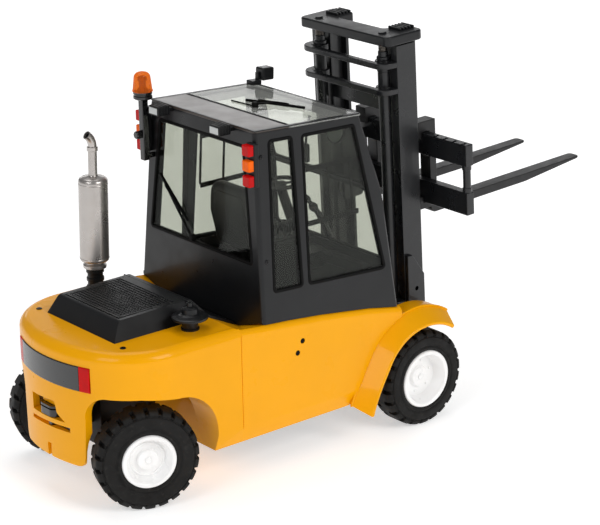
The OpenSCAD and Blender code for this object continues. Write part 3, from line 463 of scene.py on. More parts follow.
def rear_arch():
    """Room for a steered wheel, open to the side and the back."""
    side = [(-132.5, 0), (-132.5, 38.4), (-113, 38)] + arc(-101, 21, 15.2, 90, 0, 12) + [(-85.8, 0)]
    section = ([(13.2, 0), (13.2, SKIRT_Z), (15, 13.9), (16.1, 15), (16.6, 16.8), (17.1, 26)]
        + arc(25.1, 30.4, 8, 172, 90, 8) + [(37.6, 38.4), (37.6, 0)])
    a = prism(side, 0, 38, "xz", 0)
    sweep = TYRE_R + 0.8
    dome = [(0, -1), (sweep, -1)] + arc(0, TYRE_R, sweep, 0, 84, 10) + [(0, TYRE_R + sweep)]
    room = turned(lathe(dome), move(-WHEELBASE, KINGPIN_Y, 0))
    b = boolean(prism(section, -133, SEAM_X, "yz", 0), [room], "UNION")
    return boolean(a, [b], "INTERSECT")


def soft(bm, width, seg=2, angle=28, pick=None):
    """Bevels the edges that a boolean leaves, after joining its flat faces."""
    bmesh.ops.dissolve_limit(bm, angle_limit=radians(0.4), verts=bm.verts[:], edges=bm.edges[:])
    return bevel(bm, width, seg, angle, pick)


def counterweight():
    steps = [(0.35, SKIRT_Z), (0, 13.8), (0, 49.8), (0.12, 50.6), (0.45, 51.3), (0.95, 52), (1.5, 52.5),
        (2.25, 52.95), (3.2, DECK_Z)]
    bm = loft([[(x, y, z) for x, y in plan(d)] for d, z in steps])
    # Towing recess with a groove and a slit under it, and the sunk band that holds the lamp panel
    recess = [(9.4, 26.6), (9.5, 32.3), (-4.2, 33.4), (-5.2, 29.6), (-8.9, 27.3)]
    groove = [(9.9, 23.4), (9.9, 24.7), (0, 25.4), (-11, 25.9), (-11, 24.3), (0, 24)]
    slit = box((-129, -1.4, 0), (-124.5, 0.6, 18), 0)
    band = turned(ring(rect(49.4, 39.5, 52, 47.8), 24, 156.9, 203.1), move(BACK_X, 0, 0))
    axle_room = box((-122, -22.5, -1), (-85.8, 22.5, 37.8), 0)
    cuts = sides(rear_arch()) + sides(skirt(-90, -74))
    cuts += [axle_room, valley(), prism(recess, -129, -123.5, "yz", 0),
        prism(groove, -129, -124.3, "yz", 0), slit, band]
    bm = boolean(bm, cuts)
    soft(bm, 0.45, 3, 32)
    bm = boolean(bm, sides(box((-75.95, 34.4, 0), (-75.65, 36, 60), 0)))
    piece("counterweight_casting", bm, YELLOW, "counterweight", 40)


def swell(a):
    """Growth of the front arch towards its rear foot, at angle a in degrees."""
    return 1 + 0.25 * max(0, (a - 150) / 40) ** 2


def fender():
    """Band over a front wheel with a rounded lip, a bead along the body and a slanted foot."""
    start = 56
    section = rounded([(23.4, 27.2), (24.75, 27.2), (24.75, 33.6), (20.5, 40.3), (19.1, 40.2),
        (23.4, 32.6)], [0.2, 0.3, 1.2, 0.55, 0.55, 1], 4)
    span = 146
    band = ring(section, 72, 0, span)
    bead = ring(arc(24.7, 33.9, 0.42, 0, 315, 7), 72, 0, span)
    lip = ring(arc(20.1, 39.65, 0.62, 0, 315, 7), 72, 0, span)
    below = [(26, 17.3), (42, 9.65), (42, -6), (26, -6)]
    out = []
    for b in (band, bead, lip):
        for v in b.verts:
            grow = swell(start + degrees(atan2(v.co.y, v.co.x)) % 360)
            v.co.x *= grow
            v.co.y *= grow
        turned(b, rot(start, "Z"), rot(90, "X"), move(0, 0, TYRE_R), FLIP)
        out.append(boolean(b, [prism(below, -45, 0, "yz", 0)]))
    return out


def chassis_body():
    def rim(r, a):
        return (r * swell(a) * cos(radians(a)), TYRE_R + r * swell(a) * sin(radians(a)))
    outline = ([(SEAM_X, SKIRT_Z), (-34, SKIRT_Z)] + [rim(ARCH_R, 186.5 - 4 * k) for k in range(19)]
        + [(-7.4, 40), (-7.4, 43.8)] + BODY_TOP)
    bm = prism(outline, -BODY_HALF, BODY_HALF, "xz", 0)
    bevel(bm, 2.2, 4, 25, lambda e: all(abs(abs(v.co.y) - BODY_HALF) < 0.01 and v.co.z > 43
        for v in e.verts) and abs(e.verts[0].co.x - e.verts[1].co.x) > 0.5)
    hollow = prism([(-72.4, 0), (-72.4, 46), (-42.4, 45), (-21, 42.4), (0, 39.6), (0, 0)], -30.6, 30.6,
        "xz", 0)
    bay = prism([rim(ARCH_R - 1, a) for a in range(-30, 203, 3)] + [(-29, 0), (20, 0)], -36, 36, "xz", 0)
    cuts = [hollow, box((-21, -23.4, 0), (1, 23.4, 42.5), 0), bay, valley()] + sides(skirt(-76, 1))
    plugs = []
    for x, z in ((-50.7, 42.6), (-52.8, 38.9)):
        hole = lathe([(0, -1.2), (0.95, -1.2), (0.95, 1.2), (0, 1.2)], 24)
        cuts.append(turned(hole, rot(90, "X"), move(x, -BODY_HALF, z)))
        plug = lathe([(0, 0), (0.85, 0), (0.85, 0.95), (0.7, 1.1), (0, 1.12)], 24)
        plugs.append(turned(plug, rot(90, "X"), move(x, -33.45, z)))
    piece("filler_plugs", plugs, SEAL)
    bm = boolean(bm, cuts)
    soft(bm, 0.3, 2, 32)
    f = fender()
    piece("body_shell", [bm] + f + [mirrored(b) for b in f], YELLOW, "chassis_body", 40)


def hood():
    side = rounded([(-113.4, 53.25), (-110, 59.4), (-82.1, 59.8), (-76.5, 53.6), (-66.2, 48.6),
        (-66.2, 47.8), (BACK_X, DECK_Z)], [0, 1.6, 1.6, 1.5, 0.2, 0, 0], 5)
    a = prism(side, -19, 19, "xz", 0)
    b = prism([(-19, DECK_Z), (-16.4, 60.4), (16.4, 60.4), (19, DECK_Z), (19, 47.6), (-19, 47.6)], -115,
        -64.2, "yz", 0)
    bm = boolean(a, [b], "INTERSECT")
    soft(bm, 1.1, 4, 30, lambda e: max(v.co.z for v in e.verts) > 54)
    bm = boolean(bm, [box((-108.8, -15, 58.5), (-87.2, 15, 61), 0)])
    bevel(bm, 0.25, 2, 50, lambda e: min(v.co.z for v in e.verts) > 59)
    seam = box((-84, -17.6, 59.2), (-83.7, 17.6, 59.83), 0.05)
    piece("hood_cover", [bm, seam], GREY, "engine_hood", 40)
    # The grille: a frame and a square mesh of fine ribs
    g = [box((-108.6, -14.8, 58.5), (-87.4, 14.8, 59.1), 0.05)]
    for x0, x1, y0, y1 in ((-108.6, -107.8, -14.8, 14.8), (-88.2, -87.4, -14.8, 14.8),
            (-107.9, -88.1, -14.8, -14), (-107.9, -88.1, 14, 14.8)):
        g.append(box((x0, y0, 58.5), (x1, y1, 59.55), 0.12))
    for i in range(15):
        x = -107.6 + 19.3 * (i + 0.5) / 15
        g.append(box((x - 0.26, -14.1, 58.6), (x + 0.26, 14.1, 59.42), 0.1, 1))
    for j in range(22):
        y = -14 + 28 * (j + 0.5) / 22
        g.append(box((-107.9, y - 0.26, 58.6), (-88.1, y + 0.26, 59.4), 0.1, 1))
    piece("hood_mesh", g, BLACK, "hood_grille", 40)


# ---------------- cab

# Window outlines, and the planes that the sides and the back lean in
SMALL = [(-58.5, 110.4), (-48.2, 110), (-48, 59.8), (-60.8, 60.4)]
LARGE = [(-45, 109.7), (-22.4, 109.1), (-12.6, 57.8), (-46.2, 59.8)]
REAR = [(-22.8, 108.6), (22.8, 108.6), (28, 69.6), (-28, 69.6)]
FRONT_TOP = [(-24, 108.4), (24, 108.4), (26.4, 85.1), (-26.4, 85.1)]
FRONT_LOW = [(-26.6, 83.9), (26.6, 83.9), (28.6, 60), (-28.6, 60)]
SIDE_M = move(0, ROOF_HALF, ROOF_Z) @ rot(SIDE_LEAN, "X") @ move(0, 0, -ROOF_Z)
BACK_M = move(CAB_REAR, 0, ROOF_Z) @ rot(REAR_LEAN, "Y") @ move(0, 0, -ROOF_Z)
SLOPE = (ROOF_Z - ROOF_FRONT) / (CAB_FRONT - CAB_REAR)


def roof_at(x):
    return ROOF_Z - (x - CAB_REAR) * SLOPE


def front_x(z):
    """Front face of the cab, bent at the windscreen's divider."""
    if z > 84.5:
        return -12 + (CAB_FRONT + 12) * (z - 84.5) / (ROOF_FRONT - 84.5)
    return -12 + (-8.2 + 12) * (84.5 - z) / (84.5 - 43.8)


def on_side(a, b, t):
    return tuple(SIDE_M @ Vector((a, t, b)))


def on_back(a, b, t):
    return tuple(BACK_M @ Vector((-t, a, b)))


def on_front(a, b, t):
    return (front_x(b) + t, a, b)


def gasket(outline, place, w=1.15):
    """Rubber profile round an opening, rounded outwards, as one skin."""
    out, back = 0.28, 1.35
    o0 = rounded(outline, 1.6, 6)
    o1 = rounded(inset(outline, 0.25), 1.35, 6)
    i1 = rounded(inset(outline, w - 0.25), 1.6 - w + 0.25, 6)
    i0 = rounded(inset(outline, w), 1.6 - w, 6)
    rings = [[place(a, b, t) for a, b in pts] for pts,
        t in ((o0, -back), (o0, 0), (o1, out), (i1, out), (i0, 0), (i0, -back))]
    return hoop(rings)


def shell_solid(pts, margin):
    """Side outline spread to the leaning sides, less a margin."""
    return loft([[(x, -cab_half(z) + margin, z) for x, z in pts],
        [(x, cab_half(z) - margin, z) for x, z in pts]])


def cab():
    outer = [(CAB_REAR, roof_at(CAB_REAR) - 0.8), (CAB_FRONT, roof_at(CAB_FRONT) - 0.8), (-12, 84.5)]
    outer += [(x, z + 0.05) for x, z in BODY_TOP[:-1]]
    bm = shell_solid(outer, 0)

    def post(e):
        return (all(abs(abs(v.co.y) - cab_half(v.co.z)) < 0.02 for v in e.verts)
            and max(v.co.z for v in e.verts) > 60 and abs(e.verts[0].co.z - e.verts[1].co.z) > 5)
    bevel(bm, 1.5, 4, 25, post)
    inner = [(CAB_REAR + 1.6, roof_at(CAB_REAR) - 3), (CAB_FRONT - 1.6, roof_at(CAB_FRONT) - 3),
        (-13.6, 84.5), (-9.9, 40), (-64.5, 40), (-64.2, 51.5)]
    cuts = [shell_solid(inner, 1.6), box((-46.6, -25, 100), (-23, 25, 120), 0)]
    for w in (SMALL, LARGE):
        cuts += sides(turned(prism(rounded(w, 1.6, 6), -2.6, 1, "xz", 0), SIDE_M))
    cuts.append(turned(prism(rounded(REAR, 1.6, 6), -1, 2.6, "yz", 0), BACK_M))
    cuts += [prism(rounded(w, 1.6, 6), -30, 5, "yz", 0) for w in (FRONT_TOP, FRONT_LOW)]
    bm = boolean(bm, cuts)
    apron = prism([(-32.6, 51.7), (-20, 47.7), (20, 47.7), (32.6, 51.7), (32.6, 53), (-32.6, 53)], 0, 1.3,
        "yz", 0.2)
    turned(apron, BACK_M)
    piece("cab_frame", [bm, apron], GREY, "cab_shell")
    seals = []
    for w in (SMALL, LARGE):
        seals += sides(gasket(w, on_side))
    seals += [gasket(REAR, on_back), gasket(FRONT_TOP, on_front, w=0.55),
        gasket(FRONT_LOW, on_front, w=0.55)]
    piece("window_seals", seals, SEAL, "window_gaskets", 40)
    screens = [loft([[on_front(a, b, t) for a, b in rounded(inset(w, 0.3), 1.3, 5)] for t in (-1.2, -0.5)])
        for w in (FRONT_TOP, FRONT_LOW)]
    piece("screen_panes", screens, PANE, "windscreens", 40)
    # Sliding sashes inside the large side windows
    sash = []
    for lo, hi in (((-43.6, 96.5), (-23.4, 98.1)), ((-43, 78.6), (-21.6, 80.3)), ((-33.6, 80), (-32.9, 97)),
            ((-24.3, 80), (-23.4, 97)), ((-43.6, 80), (-42.9, 97))):
        bar = prism(rect(*lo, *hi), -2.3, -1.7, "xz", 0.12)
        sash += sides(turned(bar, SIDE_M))
    piece("window_sashes", sash, SEAL, smooth=40)


def on_roof(bm, drop):
    """Lays a flat solid on the sloping roof, sunk by drop."""
    for v in bm.verts:
        v.co.z += roof_at(v.co.x) - drop
    return bm


def roof():
    joint, half, thick = -49.2, 27.85, 0.8
    plate = prism(rounded(rect(CAB_REAR, -half, joint, half), [1.5, 0.2, 0.2, 1.5], 5), 0, thick, "xy", 0.3,
        3)
    piece("roof_plate", on_roof(plate, thick), ROOF, "roof_panel", 40)

    def strip(x0, x1, y0, y1, tall, drop, bev):
        return on_roof(prism(rect(x0, y0, x1, y1), 0, tall, "xy", bev), drop)
    rails = [strip(-63.3, -19.9, s * 26.5, s * 27.9, 0.4, 0.34, 0.12) for s in (-1, 1)]
    rails += [strip(x0, x1, -27.8, 27.8, 0.4, 0.34, 0.12) for x0, x1 in ((-63.35, -62.4), (-20.7, -19.7))]
    piece("roof_border", rails, GREY)
    # Seal across the joint in front of the rear half
    seal = strip(-49.7, -48.2, -26.4, 26.4, 0.38, 0.33, 0.1)
    piece("roof_seals", seal, SEAL)


# ---------------- wheels

# Outer face of each wheel
WHEELS = {"front_left": move(0, FRONT_FACE_Y, TYRE_R), "front_right": move(0, -FRONT_FACE_Y, TYRE_R) @ FLIP,
    "rear_left": move(-WHEELBASE, KINGPIN_Y, TYRE_R) @ rot(-STEER, "Z") @ move(0, HUB_OUT, 0),
    "rear_right": move(-WHEELBASE, -KINGPIN_Y, TYRE_R) @ rot(-STEER, "Z") @ FLIP @ move(0, HUB_OUT, 0)}


def tyre(rim_r):
    """Tyre about Y, outer face at y = 0, with blocks cut round both shoulders."""
    w, r, blocks = TYRE_W, TYRE_R, 23
    half = [(rim_r, 0.75), (rim_r + 0.1, 0.35), (rim_r + 0.5, 0.08), (rim_r + 0.95, 0.02),
        (rim_r + 1.25, 0.2), (rim_r + 1.5, 0.42), (rim_r + 1.8, 0.42), (rim_r + 2.05, 0.2),
        (rim_r + 2.5, 0.12), (r - 2.7, 0.2), (r - 2.3, 0.3), (r - 2.05, 0.62), (r - 1.8, 0.62),
        (r - 1.55, 0.42), (r - 1, 0.62), (r - 0.5, 0.98), (r - 0.15, 1.5), (r, 2.1), (r, 2.9), (r, 3.45),
        (r, 3.62), (r, 3.85), (r, 4.2)]
    profile = half + [(a, w - b) for a, b in half[::-1]]
    pitch = 2 * pi * r / blocks
    marks = []
    for base in (0, pitch / 2):
        marks += [base + d for d in (-0.98, -0.8, -0.7, -0.58, -0.42, 0, 0.42, 0.58, 0.7, 0.8, 0.98)]
    angles = sorted((k * pitch + m) / r for k in range(blocks) for m in marks)

    def depth(arc_len, h):
        """How far the tread is cut down, 0 to 1, at a place round and across the tyre."""
        side = 0 if h < w / 2 else pitch / 2
        d = abs((arc_len - side + pitch / 2) % pitch - pitch / 2)
        across = max(0, min(1, (0.76 - d) / 0.16))
        inside = max(0, min(1, (3.75 - min(h, w - h)) / 0.2))
        return across * inside
    rings = []
    for a in angles:
        col = []
        for q, h in profile:
            f = depth(a * r, h)
            low = min(q, r - 1.25)
            cut = q + (low - q) * f
            hh = h
            if q > r - 1.9 and f > 0:
                hh = h + (0.35 * f if h < w / 2 else -0.35 * f)
            col.append((cut * sin(a), -hh, cut * cos(a)))
        rings.append(col)
    bm = hoop(rings, closed=False)
    # The bead under the rim closes the skin
    bmesh.ops.bridge_loops(bm, edges=[e for e in bm.edges if e.is_boundary])
    return outward(bm)


def turned_y(profile, n=72):
    return turned(lathe(profile, n), rot(90, "X"))


def barrel(r, dish):
    """Inner part of a rim's profile, from its lip to its back."""
    w = TYRE_W
    return [(r - 0.6, -0.2), (r - 0.3, -0.1), (r - 0.08, 0.15), (r, 0.5), (r, w - 0.4), (r - 1.2, w - 0.4),
        (r - 1.8, dish + 2), (3.1, dish + 2), (2.9, w - 1.4), (0, w - 1.4)]


def rim_front(r, dish, hub):
    prof = [(0, dish - 1.45), (0.9, dish - 1.45), (1.2, dish - 1.6), (hub - 0.8, dish - 1.6),
        (hub - 0.25, dish - 1.4), (hub, dish - 0.9), (hub, dish - 0.35), (hub + 0.3, dish - 0.05),
        (hub + 0.8, dish), (r - 3.6, dish), (r - 3, dish - 0.15), (r - 2.75, dish - 0.6), (r - 2, 1.5),
        (r - 1.75, 0.95), (r - 1.7, 0.4), (r - 1.55, 0), (r - 1.25, -0.2)]
    cap = [(0, dish - 2), (0.7, dish - 2), (1, dish - 1.85), (1.05, dish - 1.4)]
    return [turned_y(prof + barrel(r, dish), 96), turned_y(cap, 32)]


def rim_rear(r, dish, hub):
    prof = [(0, dish - 1.45), (1, dish - 1.45), (1.3, dish - 1.6), (hub - 0.8, dish - 1.6),
        (hub - 0.2, dish - 1.4), (hub, dish - 1), (hub, dish - 0.3), (hub + 0.25, dish - 0.05),
        (hub + 0.5, dish), (5, dish), (5.15, dish - 0.25), (5.5, dish - 0.32), (5.75, dish - 0.1),
        (r - 2.9, dish), (r - 2.6, dish - 0.1), (r - 1.9, 1.1), (r - 1.65, 0.4), (r - 1.5, 0),
        (r - 1.2, -0.2)]
    cap = [(0, dish - 2), (0.8, dish - 2), (1.1, dish - 1.8), (1.1, dish - 1.4)]
    return [turned_y(prof + barrel(r, dish), 96), turned_y(cap, 32)]


def studs(radius, face, n, r, tall):
    """Domed nuts in a circle round a wheel's hub."""
    out = []
    for i in range(n):
        a = radians(360 * i / n + 15)
        s = lathe([(0, -tall), (r * 0.7, -tall), (r, -tall + 0.15), (r, 0.1), (0, 0.1)], 12)
        out.append(turned(s, rot(90, "X"), move(radius * sin(a), -face, radius * cos(a))))
    return out


def wheels():
    for name, m in WHEELS.items():
        end, side = name.split("_")
        at = ROW @ m
        r = RIM_R[end]
        body = end + "_wheel_" + side
        piece("tyre_" + name + "_rubber", tyre(r), TYRE, "tyre_" + name, 32, body=body, at=at)
        if end == "front":
            parts = rim_front(r, 4.6, 3.6) + studs(5.4, 4.6, 6, 0.4, 0.4)
        else:
            parts = rim_rear(r, 3, 3.4)
        piece("rim_" + name + "_disc", parts, WHITE, "rim_" + name, 30, body=body, at=at)


# ---------------- mast and carriage

def zrod(x, y, profile, n=32):
    return turned(lathe(profile, n), move(x, y, 0))


def yrod(x, z, y0, y1, r, n=32, edge=0.15):
    p = [(0, y0), (r - edge, y0), (r, y0 + edge), (r, y1 - edge), (r - edge, y1), (0, y1)]
    return turned(lathe(p, n), rot(-90, "X"), move(x, 0, z))


def mast():
    rail = [(6.75, 19), (8.05, 19), (8.05, 20.35), (13.7, 20.35), (13.7, 19), (15, 19), (15, 21.85),
        (6.75, 21.85)]
    parts = sides(prism(rail, -12, 112.5, "xy", 0.22, 2))
    u = rounded([(6.9, -21.85), (0.6, -21.85), (0.6, 21.85), (6.9, 21.85), (6.9, 18.85), (2.9, 18.85),
        (2.9, -18.85), (6.9, -18.85)], [0, 4.4, 4.4, 0, 0, 1.8, 1.8, 0], 7)
    # Ties, with clamps that hold the lift cylinders against them
    for v in TIES:
        parts.append(prism(u, v, v + 1.9, "xy", 0.3, 3))
        c = ring(rect(2.1, v - 0.15, 2.85, v + 2.05), 40)
        bevel(c, 0.15, 2, 50)
        parts += sides(turned(c, move(*LIFT_AT, 0)))
    parts.append(box((2, -21.85, -12), (8.05, 21.85, -9), 0.35, 3))
    plate = arc(0, 0, 5.4, 120, 280, 18) + [(8, -9.5), (14.6, -6), (14.6, 30.5), (9.4, 38.6), (7.2, 38.6),
        (6.8, 18)]
    parts += sides(prism(plate, 21.75, 23.35, "xz", 0.3, 3))
    ear = [(1.2, 20.4), (1.2, 22.3)] + arc(-1.6, 21.4, 1.7, 90, 270, 10)
    parts += sides(prism(ear, 10.3, 11.8, "xz", 0.15))
    parts += sides(yrod(-1.6, 21.4, 7.4, 11.8, 0.6, 16, 0.1))
    # Heads of the plate bolts
    for v in (2, 14, 26):
        parts += sides(yrod(10.8, v, 23.2, 23.35, 0.9, 6, 0.05))
    piece("mast_frame", parts, MASTGREY, "outer_mast", body="mast", at=MAST)
    lift = [(0, -9), (2.05, -9), (2.05, 93), (2.05, 103.4), (2.2, 103.55), (2.2, 104.6), (2.05, 104.75),
        (2.05, 107.4), (2.2, 107.55), (2.2, 108.4), (2, 108.6), (1.7, 108.7), (1.7, 110.2), (1.5, 110.4),
        (1.2, 110.4), (1.2, 40), (0, 40)]
    piece("lift_barrels", sides(zrod(*LIFT_AT, lift)), MASTGREY, "lift_cylinders", body="mast", at=MAST)


def inner_mast():
    h = [(8.6, 14.5), (9.9, 14.5), (9.9, 16.9), (15.7, 16.9), (15.7, 14.5), (17, 14.5), (17, 19.9),
        (15.7, 19.9), (15.7, 18.3), (9.9, 18.3), (9.9, 19.9), (8.6, 19.9)]
    parts = sides(prism(h, -12, 113, "xy", 0.2, 2))
    for v in (-11, 88):
        parts.append(box((8.6, -14.6, v), (9.9, 14.6, v + 5), 0.3, 3))
    piece("inner_rails", parts, MASTGREY, "inner_mast", body="inner_mast", at=MAST)
    head = rounded([(1.9, -22.8), (18.2, -22.8), (18.2, -12.4), (10.2, -12.4), (10.2, 12.4), (18.2, 12.4),
        (18.2, 22.8), (1.9, 22.8)], [2.2, 2.2, 1.2, 1.6, 1.6, 1.2, 2.2, 2.2], 6)
    parts = [prism(head, 113, 116.4, "xy", 0.55, 4)]
    for i in range(5):
        parts += sides(box((11 + i * 1.4, 13.1, 116.2), (11.8 + i * 1.4, 19.2, 117.3), 0.28, 3))
    parts += sides(zrod(*LIFT_AT, [(0, 116.2), (1.5, 116.2), (1.5, 116.75), (1.3, 116.9), (0, 116.9)], 6))
    piece("mast_crosshead", parts, GREY, "crosshead", body="inner_mast", at=MAST)
    prof = [(0, 40), (1, 40), (1, 110.2)]
    for k in range(5):
        z = 110.5 + 0.5 * k
        prof += [(1.15, z), (1.5, z + 0.12), (1.5, z + 0.3), (1.15, z + 0.42)]
    prof += [(1, 113.2), (0, 113.2)]
    piece("piston_rods", sides(zrod(*LIFT_AT, prof)), ROD, "lift_rods", 30, body="inner_mast", at=MAST)


def carriage():
    bar = box((21.7, -38.1, 70.3), (25, 38.1, 77.9), 0.3, 3)
    cuts = []
    # Notches along the top of the upper bar
    for i in range(17):
        y = 4.5 * i - 36
        cuts.append(box((20.7, y - 0.6, 77.2), (23.9, y + 0.6, 79), 0))
    parts = [boolean(bar, cuts), box((21.7, -38.1, 53), (25, 38.1, 61), 0.3, 3)]
    plate = [(10.4, 50), (19, 50), (19, 57), (21.9, 57), (21.9, 74), (19, 74), (19, 80), (10.4, 80)]
    parts += sides(prism(rounded(plate, [1.2, 1.2, 0, 0, 0, 0, 1.2, 1.2], 4), 12.6, 14, "xz", 0.2))
    parts += sides(zrod(23.35, 36.5,
        [(0, 60.8), (1.6, 60.8), (1.6, 62.4), (1.35, 62.6), (1.35, 68.7), (1.6, 68.9), (1.6, 70.5),
        (0, 70.5)]))
    for v in ROLLERS:
        parts += sides(yrod(ROLLER_X, v, 13.9, 14.5, 1.4, 24))
    piece("fork_carriage", parts, MASTGREY, "carriage", body="carriage", at=MAST)
    rollers = []
    for v in ROLLERS:
        rollers += sides(yrod(ROLLER_X, v, 14.5, 16.6, 2.75, 40, 0.3))
    piece("guide_rollers", rollers, STEEL, "carriage_rollers", body="carriage", at=MAST)


def fork(side):
    u0, u1, back, v, reach = 25.1, 28.1, 21.6, 51.1, 99
    outline = ([(u0, 81.8), (20.2, 81.8), (20.1, 76), (back, 76), (back, 78), (u0, 78), (u0, 52.9),
        (back, 52.9), (back, 55), (20.1, 55), (20.1, v - 0.6), (u0, v - 0.6)]
        + arc(u0 + 2, v - 1, 2, 180, 270, 6) + [(u0 + 46, v - 3), (reach, v - 0.7), (reach, v)]
        + arc(u1 + 1.5, v + 1.5, 1.5, 270, 180, 6) + [(u1, 81.8)])
    a = prism(outline, 11.3, 16.4, "xz", 0)
    top = [(19, 11.3)] + arc(reach - 1.5, 12.8, 1.5, 270, 360, 7)
    top += arc(reach - 1.5, 14.9, 1.5, 0, 90, 7) + [(19, 16.4)]
    b = prism(top, 40, 90, "xy", 0)
    bm = boolean(a, [b], "INTERSECT")
    soft(bm, 0.28, 3, 30)
    if side == "right":
        bm = turned(bm, FLIP)
    piece("fork_arm_" + side, bm, METAL, "fork_" + side, body="fork_" + side, at=MAST)


# ---------------- fittings

ROOF_M = move(CAB_REAR, 0, ROOF_Z) @ rot(degrees(atan2(ROOF_Z - ROOF_FRONT, CAB_FRONT - CAB_REAR)), "Y")


def blade(p, q, w, z0, z1, bev=0.15):
    """Flat bar in the XY plane between two points, with rounded long edges."""
    d = Vector(q) - Vector(p)
    b = box((0, -w / 2, z0), (d.length, w / 2, z1), bev, 2)
    return turned(b, rot(degrees(atan2(d.y, d.x)), "Z"), move(p[0], p[1], 0))


def fittings():
    lights = []
    for b in (box((-70.4, 13.6, 111.6), (-65.6, 19, 114.8), 0.45, 3),
            box((-70.4, 13.75, 111.75), (-69.9, 18.85, 114.65), 0.2, 2),
            box((-66, 14.8, 112.2), (-63.3, 17.8, 113.5), 0.2)):
        lights += sides(b)
    for k in range(3):
        lights += sides(box((-69.2 + k * 1.15, 13.5, 112), (-68.7 + k * 1.15, 19.1, 114.95), 0.12, 1))
    piece("work_light_bodies", lights, BLACK, "work_lights")
    lens = []
    for i in range(6):
        y = 14.2 + 0.72 * i
        lens += sides(box((-70.55, y, 112.1), (-69.9, y + 0.66, 114.3), 0.16, 2))
    piece("work_light_glass", lens, LENS, "work_light_lenses", 40)
    piece("tail_boards", sides(box((-65.8, 26.5, 96.4), (-63.9, 30.7, 110.6), 0.35, 3)), BLACK,
        "lamp_brackets")

    def lamp(z0, z1):
        return sides(box((-67.8, 26.8, z0), (-65.6, 30.4, z1), 0.4, 4))
    piece("tail_lamps_red", lamp(106.8, 110.4) + lamp(96.8, 100.4), RED, "red_lamps", 40)
    piece("tail_lamps_amber", lamp(101.8, 105.4), AMBER, "amber_lamps", 40)
    post = [box((-69.8, 23.2, 94.6), (-67.4, 25.6, 115.6), 0.3, 3),
        box((-68.6, 23.2, 111), (-63.3, 25.6, 112.6), 0.3, 3),
        box((-68.6, 25, 94.6), (-63.9, 26.2, 96.2), 0.25, 3),
        turned(lathe([(0, 0), (1, 0), (1.4, 0.4), (1.4, 1.8), (1.1, 2.2), (0, 2.2)], 9), rot(-90, "Y"),
        move(-69.6, 25, 103.4)),
        zrod(*BEACON_AT, [(0, 115.4), (2.7, 115.4), (3.2, 115.8), (3.2, 116.6), (2.9, 116.8), (2.9, 117.1),
        (3.2, 117.3), (3.2, 118), (0, 118)], 40)]
    piece("beacon_base", post, GLOSS, "beacon_post")
    prof = [(0, 118.02), (3.35, 118.02), (3.38, 118.4), (3.15, 118.7), (2.95, 120.6), (2.7, 122.8),
        (2.62, 123.3), (2.3, 123.9), (1.8, 124.3), (1.1, 124.52), (0, 124.58)]
    dome = lathe(prof, 72)
    for v in dome.verts:
        r = hypot(v.co.x, v.co.y)
        if 118.4 < v.co.z < 123.9 and r > 0.5:
            f = 1 + 0.03 * cos(18 * atan2(v.co.y, v.co.x))
            v.co.x *= f
            v.co.y *= f
    turned(dome, move(*BEACON_AT, 0))
    piece("beacon_dome", dome, BEACON, "beacon_lens", 50)
    piece("beacon_core", zrod(*BEACON_AT,
        [(0, 118.1), (1.7, 118.1), (1.7, 118.9), (1.2, 119.2), (1.2, 121.4), (1.6, 121.7), (1.6, 122.6),
        (1, 123.2), (0, 123.3)], 32), BULB)
    cam = [box((40, 23.6, 0), (44, 27.2, 1.5), 0.3, 3), box((43, 24.8, 1.2), (44, 26.2, 4), 0.2),
        box((44, 23, 1.2), (49, 27.4, 5.6), 0.6, 4),
        turned(lathe([(0, 0), (1.5, 0), (1.5, 0.3), (1.3, 0.4), (1.1, 0.25), (0, 0.25)], 32), rot(90, "Y"),
        move(48.95, 25.2, 3.4))]
    piece("camera_head", cam, GREY, "roof_camera", at=ROW @ ROOF_M)
    wiper = [blade((23.8, 6.7), (32.6, -13.4), 0.75, 0, 0.9, 0.2),
        blade((21.1, -1.6), (28.2, -3.4), 0.6, 0.7, 1.3), blade((25.6, 2.4), (30.2, -8), 0.4, 0.8, 1.35),
        turned(lathe([(0, 0), (1.1, 0), (1.1, 1.2), (0.8, 1.7), (0, 1.75)], 32), move(21.1, -1.6, 0)),
        blade((19.9, 9.5), (21.2, -3.2), 0.35, 0.02, 0.5, 0.1)]
    piece("wiper_roof", wiper, SEAL, "roof_wiper", at=ROW @ ROOF_M)
    rear = [blade((76.8, 6.6), (89.6, 22), 0.9, 0.05, 1, 0.25),
        blade((71.8, 3.6), (84.5, 15.8), 0.7, 0.8, 1.5), blade((80, 10.4), (86.6, 18.4), 0.5, 0.9, 1.5),
        turned(lathe([(0, 0), (1.2, 0), (1.2, 1.2), (0.9, 1.7), (0, 1.8)], 32), move(71.8, 3.6, 0))]
    back = BACK_M @ move(0.3, 0, 0) @ Matrix(((0, 0, -1, 0), (0, 1, 0, 0), (1, 0, 0, 0), (0, 0, 0, 1)))
    piece("wiper_rear", rear, SEAL, "rear_wiper", at=ROW @ back)


